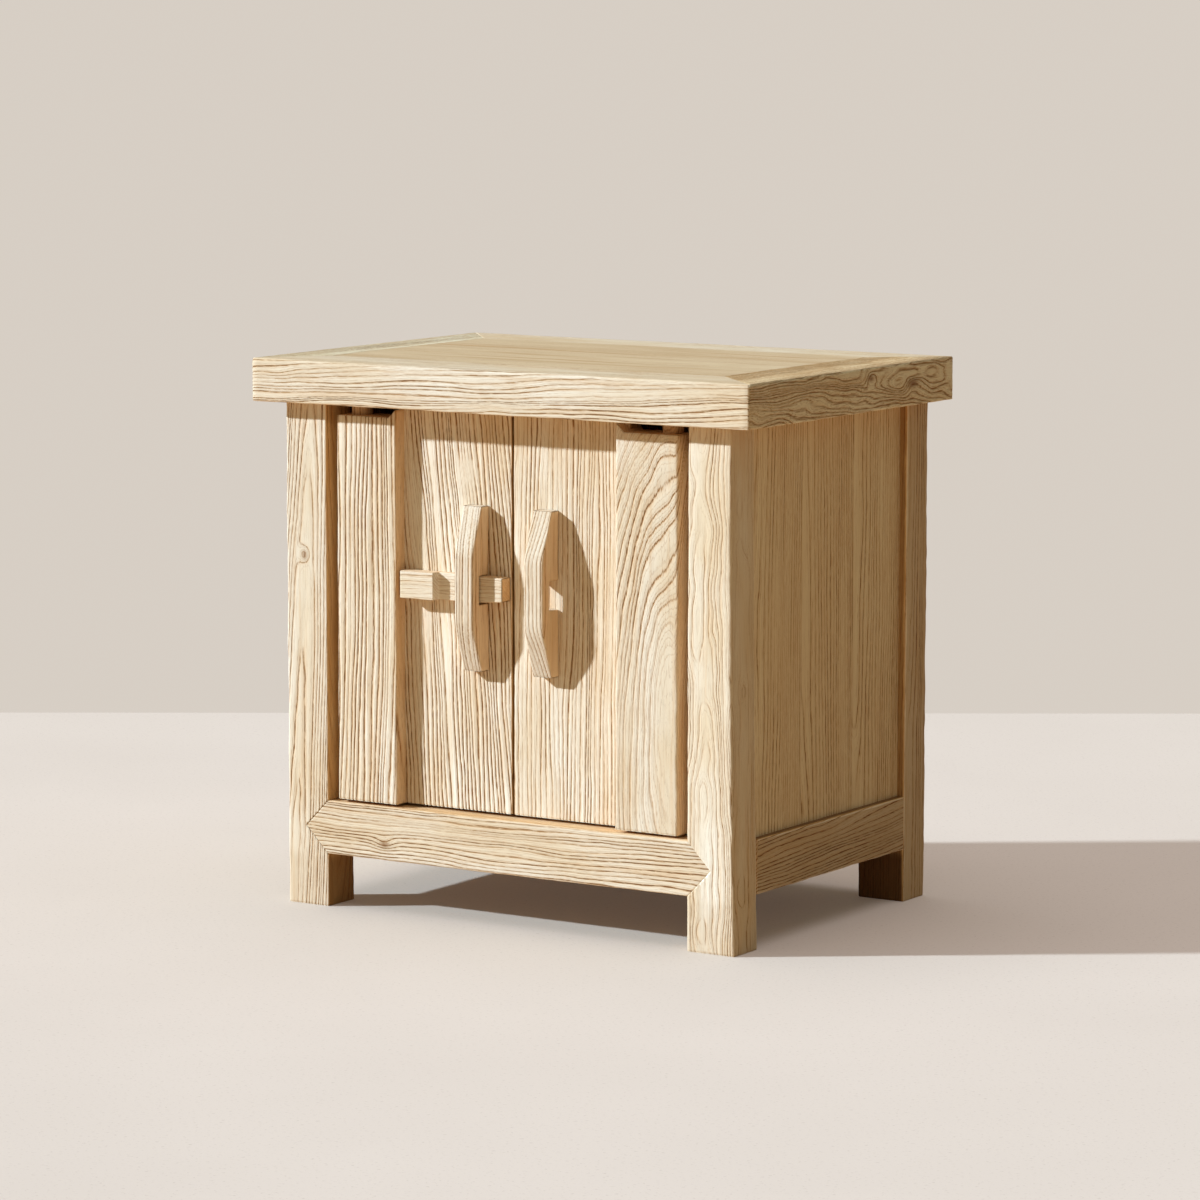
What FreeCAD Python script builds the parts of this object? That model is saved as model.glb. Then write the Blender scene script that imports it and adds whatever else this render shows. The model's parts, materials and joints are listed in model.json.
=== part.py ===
import FreeCAD, Part
import os
import re
from functools import cache

import Sketcher
from FreeCAD import Vector

# A small elm kang cabinet: a thick mitred slab on four square posts, plank sides and back,
# and two plank doors that turn on wooden pintles and are held shut by a sliding latch bar.
# X runs to the right, Y to the back and Z up. The origin is under the middle, on the floor.

SIZES = {
    "overall": {
        "overall_height": 620,
        "slab_length": 650,
        "slab_depth": 450,
        "side_overhang": 30,
        "front_overhang": 23,
        "back_overhang": 3,
    },
    "top slab": {
        "slab_thickness": 49,
        "front_frame_width": 76,
        "back_frame_width": 70,
        "left_frame_width": 60,
        "right_frame_width": 76,
        "slab_arris": 3,
        "board_thickness": 18,
        "board_gap": 0.4,
        "tongue_length": 8,
        "tongue_thickness": 8,
        "tongue_depth": 6,
        "corner_tenon_inset": 25,
        "corner_tenon_width": 25,
        "corner_tenon_height": 16,
        "corner_tenon_setback": 20,
        "corner_tenon_length": 50,
        "batten_width": 45,
        "batten_height": 28,
        "batten_tenon": 12,
        "batten_spacing": 240,
    },
    "posts": {
        "left_post_width": 56,
        "right_post_width": 60,
        "post_depth": 50,
        "post_arris": 2.5,
        "post_tenon_inset": 10,
        "post_tenon_width": 20,
        "post_tenon_setback": 14,
        "post_tenon_depth": 20,
        "post_tenon_height": 25,
    },
    "bottom rails": {
        "leg_clearance": 60,
        "rail_height": 61.5,
        "front_rail_thickness": 46,
        "side_rail_thickness": 42,
        "rail_point_thickness": 12,
        "rail_tenon_thickness": 14,
        "rail_tenon_setback": 16,
        "rail_tenon_shoulder": 11,
        "long_tenon": 26,
        "short_tenon": 18,
    },
    "panels and floor": {
        "panel_thickness": 14,
        "panel_recess": 9,
        "groove_depth": 8,
        "floor_thickness": 14,
        "floor_drop": 11.5,
        "joint_clearance": 0.1,
        "loose_clearance": 0.3,
    },
    "doors": {
        "door_side_gap": 13,
        "door_bottom_gap": 3,
        "door_top_gap": 2.5,
        "meeting_gap": 2,
        "stile_width": 80,
        "stile_thickness": 44,
        "stile_setback": 2,
        "stile_arris": 2.5,
        "stile_head_gap": 12.5,
        "door_board_recess": 17.5,
        "door_board_thickness": 18,
        "pintle_diameter": 23,
        "pintle_inset": 20,
        "pintle_top_reach": 22,
        "pintle_foot_reach": 20,
        "pintle_clearance": 0.3,
        "pintle_headroom": 2,
        "door_batten_height": 42,
        "door_batten_thickness": 20,
        "door_batten_lap": 40,
        "door_batten_setback": 14,
        "door_batten_inset": 70,
    },
    "handles": {
        "handle_level": 375,
        "handle_length": 183,
        "handle_width": 25,
        "handle_depth": 33,
        "handle_end_depth": 18.5,
        "handle_flat": 80,
        "handle_bend_radius": 60,
        "handle_arris": 2.5,
        "left_handle_inset": 31,
        "right_handle_inset": 35.5,
        "peg_diameter": 8,
        "peg_grip": 14,
        "peg_spacing": 120,
    },
    "latch bar": {
        "bar_level": 374,
        "bar_height": 31,
        "bar_thickness": 17.7,
        "bar_back_clearance": 0.3,
        "bar_head_length": 44,
        "bar_tail_share": 0.48,
        "bar_waist_thickness": 6.5,
        "bar_lead_length": 58,
        "bar_lead_rise": 4,
        "bar_arris": 1.2,
        "bar_drawn_inset": 1.7,
        "bar_tail_clearance": 5.3,
        "slot_side_clearance": 0.8,
        "slot_front_clearance": 2,
    },
    "cuts": {
        "cut_overrun": 1,
    },
}

FIELD_BOARDS = 3
SIDE_BOARDS = 3
BACK_BOARDS = 4
FLOOR_BOARDS = 3
SIDES = ("left", "right")
ENDS = ("front", "back")
ACROSS = Vector(1, 0, 0)
DEPTHWISE = Vector(0, 1, 0)
UPRIGHT = Vector(0, 0, 1)
TOLERANCE = 0.001

# Places that several pieces share, written in the sizes above.
SLAB_LEFT = "-slab_length / 2"
SLAB_RIGHT = "slab_length / 2"
SLAB_FRONT = "-slab_depth / 2"
SLAB_BACK = "slab_depth / 2"
UNDER_SLAB = "overall_height - slab_thickness"
CASE_LEFT = f"{SLAB_LEFT} + side_overhang"
CASE_RIGHT = f"{SLAB_RIGHT} - side_overhang"
CASE_FRONT = f"{SLAB_FRONT} + front_overhang"
CASE_BACK = f"{SLAB_BACK} - back_overhang"
OPENING_LEFT = f"{CASE_LEFT} + left_post_width"
OPENING_RIGHT = f"{CASE_RIGHT} - right_post_width"
POST_INNER_FRONT = f"{CASE_FRONT} + post_depth"
POST_INNER_BACK = f"{CASE_BACK} - post_depth"
FIELD_LEFT = f"{SLAB_LEFT} + left_frame_width"
FIELD_RIGHT = f"{SLAB_RIGHT} - right_frame_width"
FIELD_FRONT = f"{SLAB_FRONT} + front_frame_width"
FIELD_BACK = f"{SLAB_BACK} - back_frame_width"
FIELD_UNDER = "overall_height - board_thickness"
TONGUE_TOP = "overall_height - tongue_depth"
TONGUE_BOTTOM = f"{TONGUE_TOP} - tongue_thickness"
RAIL_BOTTOM = "leg_clearance"
RAIL_TOP = "leg_clearance + rail_height"
RAIL_MIDDLE = "leg_clearance + rail_height / 2"
FRONT_RAIL_BACK = f"{CASE_FRONT} + front_rail_thickness"
BACK_RAIL_FRONT = f"{CASE_BACK} - side_rail_thickness"
LEFT_RAIL_INNER = f"{CASE_LEFT} + side_rail_thickness"
RIGHT_RAIL_INNER = f"{CASE_RIGHT} - side_rail_thickness"
PANEL_BOTTOM = f"{RAIL_TOP} - groove_depth"
PANEL_TOP = f"{UNDER_SLAB} + groove_depth"
PANEL_FRONT = f"{POST_INNER_FRONT} - groove_depth"
PANEL_BACK = f"{POST_INNER_BACK} + groove_depth"
BACK_PANEL_LEFT = f"{OPENING_LEFT} - groove_depth"
BACK_PANEL_RIGHT = f"{OPENING_RIGHT} + groove_depth"
BACK_PANEL_OUTER = f"{CASE_BACK} - panel_recess"
BACK_PANEL_INNER = f"{BACK_PANEL_OUTER} - panel_thickness"
FLOOR_TOP = f"{RAIL_TOP} - floor_drop"
FLOOR_UNDER = f"{FLOOR_TOP} - floor_thickness"
FLOOR_LEFT = f"{LEFT_RAIL_INNER} - groove_depth"
FLOOR_RIGHT = f"{RIGHT_RAIL_INNER} + groove_depth"
FLOOR_FRONT = f"{FRONT_RAIL_BACK} - groove_depth"
FLOOR_BACK = f"{BACK_RAIL_FRONT} + groove_depth"
MEETING_LINE = f"({OPENING_LEFT} + {OPENING_RIGHT}) / 2"
DOOR_BOTTOM = f"{RAIL_TOP} + door_bottom_gap"
DOOR_TOP = f"{UNDER_SLAB} - door_top_gap"
STILE_HEAD = f"{UNDER_SLAB} - stile_head_gap"
STILE_FRONT = f"{CASE_FRONT} + stile_setback"
STILE_BACK = f"{STILE_FRONT} + stile_thickness"
DOOR_BOARD_FRONT = f"{STILE_FRONT} + door_board_recess"
DOOR_BOARD_BACK = f"{DOOR_BOARD_FRONT} + door_board_thickness"
DOOR_BATTEN_BACK = f"{DOOR_BOARD_BACK} + door_batten_thickness"
PINTLE_MIDDLE = f"{STILE_FRONT} + stile_thickness / 2"
PINTLE_FOOT = f"{RAIL_TOP} - pintle_foot_reach"
PINTLE_HEAD = f"{UNDER_SLAB} + pintle_top_reach"
HANDLE_FRONT = f"{DOOR_BOARD_FRONT} - handle_depth"
HANDLE_END_FRONT = f"{DOOR_BOARD_FRONT} - handle_end_depth"
HANDLE_BOTTOM = "handle_level - handle_length / 2"
HANDLE_TOP = "handle_level + handle_length / 2"
BAR_BACK = f"{DOOR_BOARD_FRONT} - bar_back_clearance"
BAR_FRONT = f"{BAR_BACK} - bar_thickness"
BAR_WAIST_FRONT = f"{BAR_BACK} - bar_waist_thickness"
BAR_BOTTOM = "bar_level - bar_height / 2"
BAR_TOP = "bar_level + bar_height / 2"
BAR_RIGHT = f"{MEETING_LINE} - meeting_gap / 2 - bar_drawn_inset"
BAR_LEFT = f"{OPENING_LEFT} + door_side_gap + stile_width + bar_tail_clearance"
BAR_HEAD = f"{BAR_RIGHT} - bar_head_length"
BAR_TAIL = f"{BAR_LEFT} + (({BAR_HEAD}) - ({BAR_LEFT})) * bar_tail_share"

doc = FreeCAD.newDocument("kang_cabinet")
sheet = doc.addObject("Spreadsheet::Sheet", "sizes")
gauge = doc.addObject("App::FeaturePython", "gauge")
gauge.addProperty("App::PropertyFloat", "reading")
pieces = []


def fill_sheet():
    row = 0
    for group, entries in SIZES.items():
        row += 1
        sheet.set(f"A{row}", group)
        for alias, number in entries.items():
            row += 1
            sheet.set(f"A{row}", alias)
            sheet.set(f"B{row}", str(number))
            sheet.setAlias(f"B{row}", alias)
    doc.recompute()


def bound(text):
    """The expression with each word turned into its cell of the sheet."""
    return re.sub(r"[a-z]\w+", lambda word: "sizes." + word.group(), text)


def measure(text):
    """What an expression comes to with the sizes that the sheet holds."""
    gauge.setExpression("reading", bound(text))
    gauge.recompute()
    return gauge.reading


def span(low, high):
    return f"({high}) - ({low})"


def grown(places, by="joint_clearance"):
    """A low and a high place, each moved outwards."""
    low, high = places
    return f"{low} - {by}", f"{high} + {by}"


def outward(side, place, by):
    """A place moved towards the cabinet's own left or right side."""
    return f"{place} - ({by})" if side == "left" else f"{place} + ({by})"


def inward(side, place, by):
    """A place moved towards the middle of the cabinet."""
    return f"{place} + ({by})" if side == "left" else f"{place} - ({by})"


def ordered(side, outer, inner):
    """The same two places, the lower one first."""
    return (outer, inner) if side == "left" else (inner, outer)


def board_places(count, low, high, number):
    """The low and high place of one of several equal boards with a gap between each."""
    width = f"({span(low, high)} - {count - 1} * board_gap) / {count}"
    start = f"{low} + {number} * ({width} + board_gap)"
    return start, f"{start} + {width}"


def block(name, x, y, z):
    """A box from its low to its high place on each axis."""
    box = doc.addObject("Part::Box", name)
    for side, axis, (low, high) in (("Length", "x", x), ("Width", "y", y), ("Height", "z", z)):
        box.setExpression(side, bound(span(low, high)))
        box.setExpression(f"Placement.Base.{axis}", bound(low))
    return box


def rod(name, diameter, x, y, z):
    """A round rod: upright where z is a low and a high place, and else from front to back."""
    bar = doc.addObject("Part::Cylinder", name)
    upright = isinstance(z, tuple)
    if not upright:
        bar.Placement.Rotation = FreeCAD.Rotation(ACROSS, -90)
    bar.setExpression("Radius", bound(f"({diameter}) / 2"))
    bar.setExpression("Height", bound(span(*(z if upright else y))))
    bar.setExpression("Placement.Base.x", bound(x))
    bar.setExpression("Placement.Base.y", bound(y if upright else y[0]))
    bar.setExpression("Placement.Base.z", bound(z[0] if upright else z))
    return bar


def joined(name, shapes):
    fuse = doc.addObject("Part::MultiFuse", name)
    fuse.Shapes = shapes
    fuse.Refine = True
    return fuse


def cut(name, base, tools):
    result = doc.addObject("Part::Cut", name)
    result.Base = base
    result.Tool = joined(name + "_tools", tools) if len(tools) > 1 else tools[0]
    result.Refine = True
    return result


def piece(label, shape):
    shape.Label = label
    pieces.append(shape)


def along(edge, direction):
    """True for a straight edge that runs along the direction."""
    if not isinstance(edge.Curve, Part.Line):
        return False
    return edge.tangentAt(edge.FirstParameter).cross(direction).Length < TOLERANCE


def outline_body(name, plane_role, points, thickness, start):
    """A body padded from a flat outline towards the right, the back or the top."""
    body = doc.addObject("PartDesign::Body", name)
    sketch = body.newObject("Sketcher::SketchObject", name + "_outline")
    plane = next(feature for feature in body.Origin.OriginFeatures if feature.Role == plane_role)
    sketch.AttachmentSupport = [(plane, "")]
    sketch.MapMode = "FlatFace"
    corners = [Vector(measure(a), measure(b), 0) for a, b in points]
    following = corners[1:] + corners[:1]
    for corner, after in zip(corners, following):
        sketch.addGeometry(Part.LineSegment(corner, after))
    for number in range(len(corners)):
        after = (number + 1) % len(corners)
        sketch.addConstraint(Sketcher.Constraint("Coincident", number, 2, after, 1))
    for number, (corner, texts) in enumerate(zip(corners, points)):
        for kind, place, text in zip(("DistanceX", "DistanceY"), corner, texts):
            constraint = sketch.addConstraint(Sketcher.Constraint(kind, number, 1, place))
            sketch.setExpression(f"Constraints[{constraint}]", bound(text))
    pad = body.newObject("PartDesign::Pad", name + "_pad")
    pad.Profile = sketch
    pad.Reversed = plane_role == "XZ_Plane"
    pad.setExpression("Length", bound(thickness))
    axis = {"XY_Plane": "z", "XZ_Plane": "y", "YZ_Plane": "x"}[plane_role]
    body.setExpression(f"Placement.Base.{axis}", bound(start))
    doc.recompute()
    return body


def worn(body, radius, wanted):
    """The body with its wanted edges rounded, as years of handling leave them."""
    tip = body.Tip
    names = [f"Edge{number}" for number, edge in enumerate(tip.Shape.Edges, 1) if wanted(edge)]
    fillet = body.newObject("PartDesign::Fillet", f"{body.Name}_{radius}")
    fillet.Base = (tip, names)
    fillet.setExpression("Radius", bound(radius))
    doc.recompute()
    return body


# Joint tools that several pieces are cut with.

def side_panel_faces(side):
    outer = inward(side, CASE_LEFT if side == "left" else CASE_RIGHT, "panel_recess")
    return ordered(side, outer, inward(side, outer, "panel_thickness"))


@cache
def side_panel_groove(side):
    x, y, z = side_panel_faces(side), (PANEL_FRONT, PANEL_BACK), (PANEL_BOTTOM, PANEL_TOP)
    return block(f"{side}_panel_groove", grown(x), grown(y), grown(z))


@cache
def back_panel_groove():
    x, y = (BACK_PANEL_LEFT, BACK_PANEL_RIGHT), (BACK_PANEL_INNER, BACK_PANEL_OUTER)
    return block("back_panel_groove", grown(x), grown(y), grown((PANEL_BOTTOM, PANEL_TOP)))


@cache
def floor_groove():
    x, y, z = (FLOOR_LEFT, FLOOR_RIGHT), (FLOOR_FRONT, FLOOR_BACK), (FLOOR_UNDER, FLOOR_TOP)
    return block("floor_groove", grown(x), grown(y), grown(z))


@cache
def field_groove():
    x = grown((FIELD_LEFT, FIELD_RIGHT), "tongue_length")
    y = grown((FIELD_FRONT, FIELD_BACK), "tongue_length")
    return block("field_groove", grown(x), grown(y), grown((TONGUE_BOTTOM, TONGUE_TOP)))


def post_sides(side):
    return (CASE_LEFT, OPENING_LEFT) if side == "left" else (OPENING_RIGHT, CASE_RIGHT)


def post_faces(end):
    return (CASE_FRONT, POST_INNER_FRONT) if end == "front" else (POST_INNER_BACK, CASE_BACK)


def post_tenon_places(end, side):
    inner = outward(side, OPENING_LEFT if side == "left" else OPENING_RIGHT, "post_tenon_inset")
    x = ordered(side, outward(side, inner, "post_tenon_width"), inner)
    if end == "front":
        near = f"{CASE_FRONT} + post_tenon_setback"
    else:
        near = f"{CASE_BACK} - post_tenon_setback - post_tenon_depth"
    return x, (near, f"{near} + post_tenon_depth")


@cache
def post_mortise(end, side):
    x, y = post_tenon_places(end, side)
    z = (f"{UNDER_SLAB} - cut_overrun", f"{UNDER_SLAB} + post_tenon_height + joint_clearance")
    return block(f"{end}_{side}_post_mortise", grown(x), grown(y), z)


def corner_tenon_places(end, side):
    outer = inward(side, SLAB_LEFT if side == "left" else SLAB_RIGHT, "corner_tenon_inset")
    x = ordered(side, outer, inward(side, outer, "corner_tenon_width"))
    if end == "front":
        near = f"{SLAB_FRONT} + corner_tenon_setback"
    else:
        near = f"{SLAB_BACK} - corner_tenon_setback - corner_tenon_length"
    low = f"{UNDER_SLAB} + (slab_thickness - corner_tenon_height) / 2"
    return x, (near, f"{near} + corner_tenon_length"), (low, f"{low} + corner_tenon_height")


def batten_places(side):
    middle = f"({FIELD_LEFT} + {FIELD_RIGHT}) / 2"
    outer = outward(side, middle, "batten_spacing / 2 + batten_width / 2")
    x = ordered(side, outer, inward(side, outer, "batten_width"))
    y = grown((FIELD_FRONT, FIELD_BACK), "batten_tenon")
    return x, y, (f"{FIELD_UNDER} - batten_height", FIELD_UNDER)


@cache
def batten_mortise(side):
    return block(f"{side}_batten_mortise", *(grown(places) for places in batten_places(side)))


def side_tenon_places(end, side):
    """The tenon of a side rail, in the front or in the back post."""
    outer = inward(side, CASE_LEFT if side == "left" else CASE_RIGHT, "rail_tenon_setback")
    x = ordered(side, outer, inward(side, outer, "rail_tenon_thickness"))
    front = f"{POST_INNER_FRONT} - short_tenon" if end == "front" else POST_INNER_BACK
    z = (f"{RAIL_BOTTOM} + rail_tenon_shoulder", f"{RAIL_TOP} - rail_tenon_shoulder")
    return x, (front, f"{front} + short_tenon"), z


def long_tenon_places(end, side):
    """The tenon of the front or the back rail, in the left or in the right post."""
    inner = OPENING_LEFT if side == "left" else OPENING_RIGHT
    x = ordered(side, outward(side, inner, "long_tenon"), inner)
    if end == "front":
        near = f"{CASE_FRONT} + rail_tenon_setback"
    else:
        near = f"{CASE_BACK} - rail_tenon_setback - rail_tenon_thickness"
    z = (f"{RAIL_BOTTOM} + rail_tenon_shoulder", f"{RAIL_TOP} - rail_tenon_shoulder")
    return x, (near, f"{near} + rail_tenon_thickness"), z


def pintle_place(side):
    opening = OPENING_LEFT if side == "left" else OPENING_RIGHT
    return inward(side, opening, "door_side_gap + pintle_inset")


def pintle_hole(name, side, z):
    return rod(name, "pintle_diameter + 2 * pintle_clearance", pintle_place(side), PINTLE_MIDDLE, z)


# The top slab: four mitred rails round a field of boards that lies flush with them.

def top_rail_body(name, points, outer_line, run, sideways):
    body = outline_body(name + "_bar", "XY_Plane", points, "slab_thickness", UNDER_SLAB)
    edge_line = measure(outer_line)

    def outer_arris(edge):
        return along(edge, run) and abs(edge.CenterOfMass.dot(sideways) - edge_line) < TOLERANCE

    return worn(body, "slab_arris", outer_arris)


def top_long_rail(end):
    """The front or the back rail, which takes the tenons of everything that meets it."""
    outer, inner = (SLAB_FRONT, FIELD_FRONT) if end == "front" else (SLAB_BACK, FIELD_BACK)
    points = [(SLAB_LEFT, outer), (SLAB_RIGHT, outer), (FIELD_RIGHT, inner), (FIELD_LEFT, inner)]
    name = f"top_{end}_rail"
    body = top_rail_body(name, points, outer, ACROSS, DEPTHWISE)
    tools = [field_groove()]
    for side in SIDES:
        corner = (grown(places) for places in corner_tenon_places(end, side))
        tools.append(block(f"{end}_{side}_corner_mortise", *corner))
        tools += [post_mortise(end, side), batten_mortise(side), side_panel_groove(side)]
    if end == "front":
        z = (f"{UNDER_SLAB} - cut_overrun", f"{PINTLE_HEAD} + pintle_headroom")
        tools += [pintle_hole(f"{side}_head_hole", side, z) for side in SIDES]
    else:
        tools.append(back_panel_groove())
    piece(name, cut(name + "_shaped", body, tools))


def top_end_rail(side):
    """The left or the right rail, with a tenon at each corner."""
    outer, inner = (SLAB_LEFT, FIELD_LEFT) if side == "left" else (SLAB_RIGHT, FIELD_RIGHT)
    points = [(outer, SLAB_FRONT), (inner, FIELD_FRONT), (inner, FIELD_BACK), (outer, SLAB_BACK)]
    name = f"top_{side}_rail"
    body = top_rail_body(name, points, outer, DEPTHWISE, ACROSS)
    tenons = [block(f"{name}_{end}_tenon", *corner_tenon_places(end, side)) for end in ENDS]
    whole = joined(name + "_with_tenons", [body] + tenons)
    piece(name, cut(name + "_shaped", whole, [field_groove(), side_panel_groove(side)]))


def top_boards():
    for number in range(FIELD_BOARDS):
        name = f"top_board_{number + 1}"
        front, back = board_places(FIELD_BOARDS, FIELD_FRONT, FIELD_BACK, number)
        z = (FIELD_UNDER, "overall_height")
        face = block(name + "_face", (FIELD_LEFT, FIELD_RIGHT), (front, back), z)
        if number == 0:
            front = f"{FIELD_FRONT} - tongue_length"
        if number == FIELD_BOARDS - 1:
            back = f"{FIELD_BACK} + tongue_length"
        x = grown((FIELD_LEFT, FIELD_RIGHT), "tongue_length")
        tongue = block(name + "_tongue", x, (front, back), (TONGUE_BOTTOM, TONGUE_TOP))
        piece(name, joined(name + "_whole", [face, tongue]))


# Posts and bottom rails: mortise and tenon, with the front rail's ends let in as points.

def point_seat(side):
    """The notch in a front post that takes the pointed end of the front rail."""
    inner = OPENING_LEFT if side == "left" else OPENING_RIGHT
    foot = inward(side, inner, "cut_overrun")
    tip = outward(side, inner, "rail_height / 2 + joint_clearance")
    points = [
        (foot, f"{RAIL_TOP} + joint_clearance + cut_overrun"),
        (tip, RAIL_MIDDLE),
        (foot, f"{RAIL_BOTTOM} - joint_clearance - cut_overrun"),
    ]
    depth = "rail_point_thickness + joint_clearance + cut_overrun"
    return outline_body(f"{side}_point_seat", "XZ_Plane", points, depth, f"{CASE_FRONT} - cut_overrun")


def post(end, side):
    name = f"post_{end}_{side}"
    (left, right), (front, back) = post_sides(side), post_faces(end)
    points = [(left, front), (right, front), (right, back), (left, back)]
    shaft = outline_body(name + "_shaft", "XY_Plane", points, UNDER_SLAB, "0")
    outer_face = measure(CASE_FRONT if end == "front" else CASE_BACK)

    def outer_arris(edge):
        return along(edge, UPRIGHT) and abs(edge.CenterOfMass.y - outer_face) < TOLERANCE

    worn(shaft, "post_arris", outer_arris)
    z = (f"{UNDER_SLAB} - cut_overrun", f"{UNDER_SLAB} + post_tenon_height")
    tenon = block(name + "_tenon", *post_tenon_places(end, side), z)
    whole = joined(name + "_whole", [shaft, tenon])
    long_mortise = (grown(places) for places in long_tenon_places(end, side))
    side_mortise = (grown(places) for places in side_tenon_places(end, side))
    tools = [
        block(name + "_long_mortise", *long_mortise),
        block(name + "_side_mortise", *side_mortise),
        side_panel_groove(side),
        point_seat(side) if end == "front" else back_panel_groove(),
    ]
    piece(name, cut(name + "_shaped", whole, tools))


def bottom_long_rail(end):
    """The front or the back rail. The front one has pointed ends and seats the door pintles."""
    name = f"bottom_rail_{end}"
    parts = [block(f"{name}_{side}_tenon", *long_tenon_places(end, side)) for side in SIDES]
    tools = [floor_groove()]
    if end == "front":
        points = [
            (OPENING_LEFT, RAIL_BOTTOM),
            (OPENING_RIGHT, RAIL_BOTTOM),
            (f"{OPENING_RIGHT} + rail_height / 2", RAIL_MIDDLE),
            (OPENING_RIGHT, RAIL_TOP),
            (OPENING_LEFT, RAIL_TOP),
            (f"{OPENING_LEFT} - rail_height / 2", RAIL_MIDDLE),
        ]
        parts.append(outline_body(name + "_face", "XZ_Plane", points, "rail_point_thickness", CASE_FRONT))
        y = (f"{CASE_FRONT} + rail_point_thickness", FRONT_RAIL_BACK)
        seat = (f"{PINTLE_FOOT} - loose_clearance", f"{RAIL_TOP} + cut_overrun")
        tools += [pintle_hole(f"{side}_foot_hole", side, seat) for side in SIDES]
    else:
        y = (BACK_RAIL_FRONT, CASE_BACK)
        tools.append(back_panel_groove())
    parts.append(block(name + "_core", (OPENING_LEFT, OPENING_RIGHT), y, (RAIL_BOTTOM, RAIL_TOP)))
    piece(name, cut(name + "_shaped", joined(name + "_whole", parts), tools))


def bottom_side_rail(side):
    name = f"bottom_rail_{side}"
    x = (CASE_LEFT, LEFT_RAIL_INNER) if side == "left" else (RIGHT_RAIL_INNER, CASE_RIGHT)
    core = block(name + "_core", x, (POST_INNER_FRONT, POST_INNER_BACK), (RAIL_BOTTOM, RAIL_TOP))
    tenons = [block(f"{name}_{end}_tenon", *side_tenon_places(end, side)) for end in ENDS]
    whole = joined(name + "_whole", [core] + tenons)
    piece(name, cut(name + "_shaped", whole, [side_panel_groove(side), floor_groove()]))


# Planks: the sides and the back stand in grooves, and the floor lies in the rails' grooves.

def side_panel(side):
    for number in range(SIDE_BOARDS):
        name = f"{side}_panel_board_{number + 1}"
        y = board_places(SIDE_BOARDS, PANEL_FRONT, PANEL_BACK, number)
        piece(name, block(name + "_plank", side_panel_faces(side), y, (PANEL_BOTTOM, PANEL_TOP)))


def back_panel():
    y, z = (BACK_PANEL_INNER, BACK_PANEL_OUTER), (PANEL_BOTTOM, PANEL_TOP)
    for number in range(BACK_BOARDS):
        name = f"back_panel_board_{number + 1}"
        x = board_places(BACK_BOARDS, BACK_PANEL_LEFT, BACK_PANEL_RIGHT, number)
        piece(name, block(name + "_plank", x, y, z))


def floor_boards():
    z = (FLOOR_UNDER, FLOOR_TOP)
    for number in range(FLOOR_BOARDS):
        name = f"floor_board_{number + 1}"
        y = board_places(FLOOR_BOARDS, FLOOR_FRONT, FLOOR_BACK, number)
        plank = block(name + "_plank", (FLOOR_LEFT, FLOOR_RIGHT), y, z)
        notches = []
        for end, notched_board in zip(ENDS, (0, FLOOR_BOARDS - 1)):
            if number == notched_board:
                for side in SIDES:
                    x = grown(post_sides(side), "loose_clearance")
                    y = grown(post_faces(end), "loose_clearance")
                    notches.append(block(f"{name}_{side}_notch", x, y, grown(z, "cut_overrun")))
        piece(name, cut(name + "_notched", plank, notches) if notches else plank)


# Doors: a thick stile with a round pintle at each end carries one wide board and two battens.

def stile_sides(side):
    """The outer and the inner side of a door's stile."""
    outer = inward(side, OPENING_LEFT if side == "left" else OPENING_RIGHT, "door_side_gap")
    return outer, inward(side, outer, "stile_width")


def door_batten_levels():
    low, high = f"{DOOR_BOTTOM} + door_batten_inset", f"{DOOR_TOP} - door_batten_inset"
    return {
        "lower": (low, f"{low} + door_batten_height"),
        "upper": (f"{high} - door_batten_height", high),
    }


def stile(side):
    """The head is cut down at the pintle, with a slope up to the board's full height."""
    name = f"{side}_door_stile"
    outer, inner = stile_sides(side)
    points = [
        (outer, DOOR_BOTTOM),
        (inner, DOOR_BOTTOM),
        (inner, DOOR_TOP),
        (outward(side, inner, span(STILE_HEAD, DOOR_TOP)), STILE_HEAD),
        (outer, STILE_HEAD),
    ]
    plank = outline_body(name + "_plank", "XZ_Plane", points, "stile_thickness", STILE_FRONT)

    def front_arris(edge):
        return along(edge, UPRIGHT) and abs(edge.CenterOfMass.y) < TOLERANCE

    worn(plank, "stile_arris", front_arris)
    x = pintle_place(side)
    head = (f"{STILE_HEAD} - cut_overrun", PINTLE_HEAD)
    foot = (PINTLE_FOOT, f"{DOOR_BOTTOM} + cut_overrun")
    pintles = [
        rod(name + "_head", "pintle_diameter", x, PINTLE_MIDDLE, head),
        rod(name + "_foot", "pintle_diameter", x, PINTLE_MIDDLE, foot),
    ]
    beyond = inward(side, inner, "cut_overrun")
    x = ordered(side, outward(side, inner, "groove_depth + joint_clearance"), beyond)
    y, z = grown((DOOR_BOARD_FRONT, DOOR_BOARD_BACK)), grown((DOOR_BOTTOM, DOOR_TOP), "cut_overrun")
    tools = [block(name + "_groove", x, y, z)]
    x = ordered(side, outward(side, inner, "door_batten_lap + joint_clearance"), beyond)
    y = (DOOR_BOARD_BACK, f"{STILE_BACK} + cut_overrun")
    for level, z in door_batten_levels().items():
        tools.append(block(f"{name}_{level}_lap", x, y, grown(z)))
    piece(name, cut(name + "_shaped", joined(name + "_whole", [plank] + pintles), tools))


def handle_sides(side):
    near = outward(side, MEETING_LINE, f"{side}_handle_inset")
    return ordered(side, outward(side, near, "handle_width"), near)


def peg_rods(name, side, diameter, y):
    left, right = handle_sides(side)
    middle = f"({left} + {right}) / 2"
    levels = ("handle_level - peg_spacing / 2", "handle_level + peg_spacing / 2")
    return [rod(f"{name}_{number}", diameter, middle, y, z) for number, z in enumerate(levels, 1)]


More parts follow.
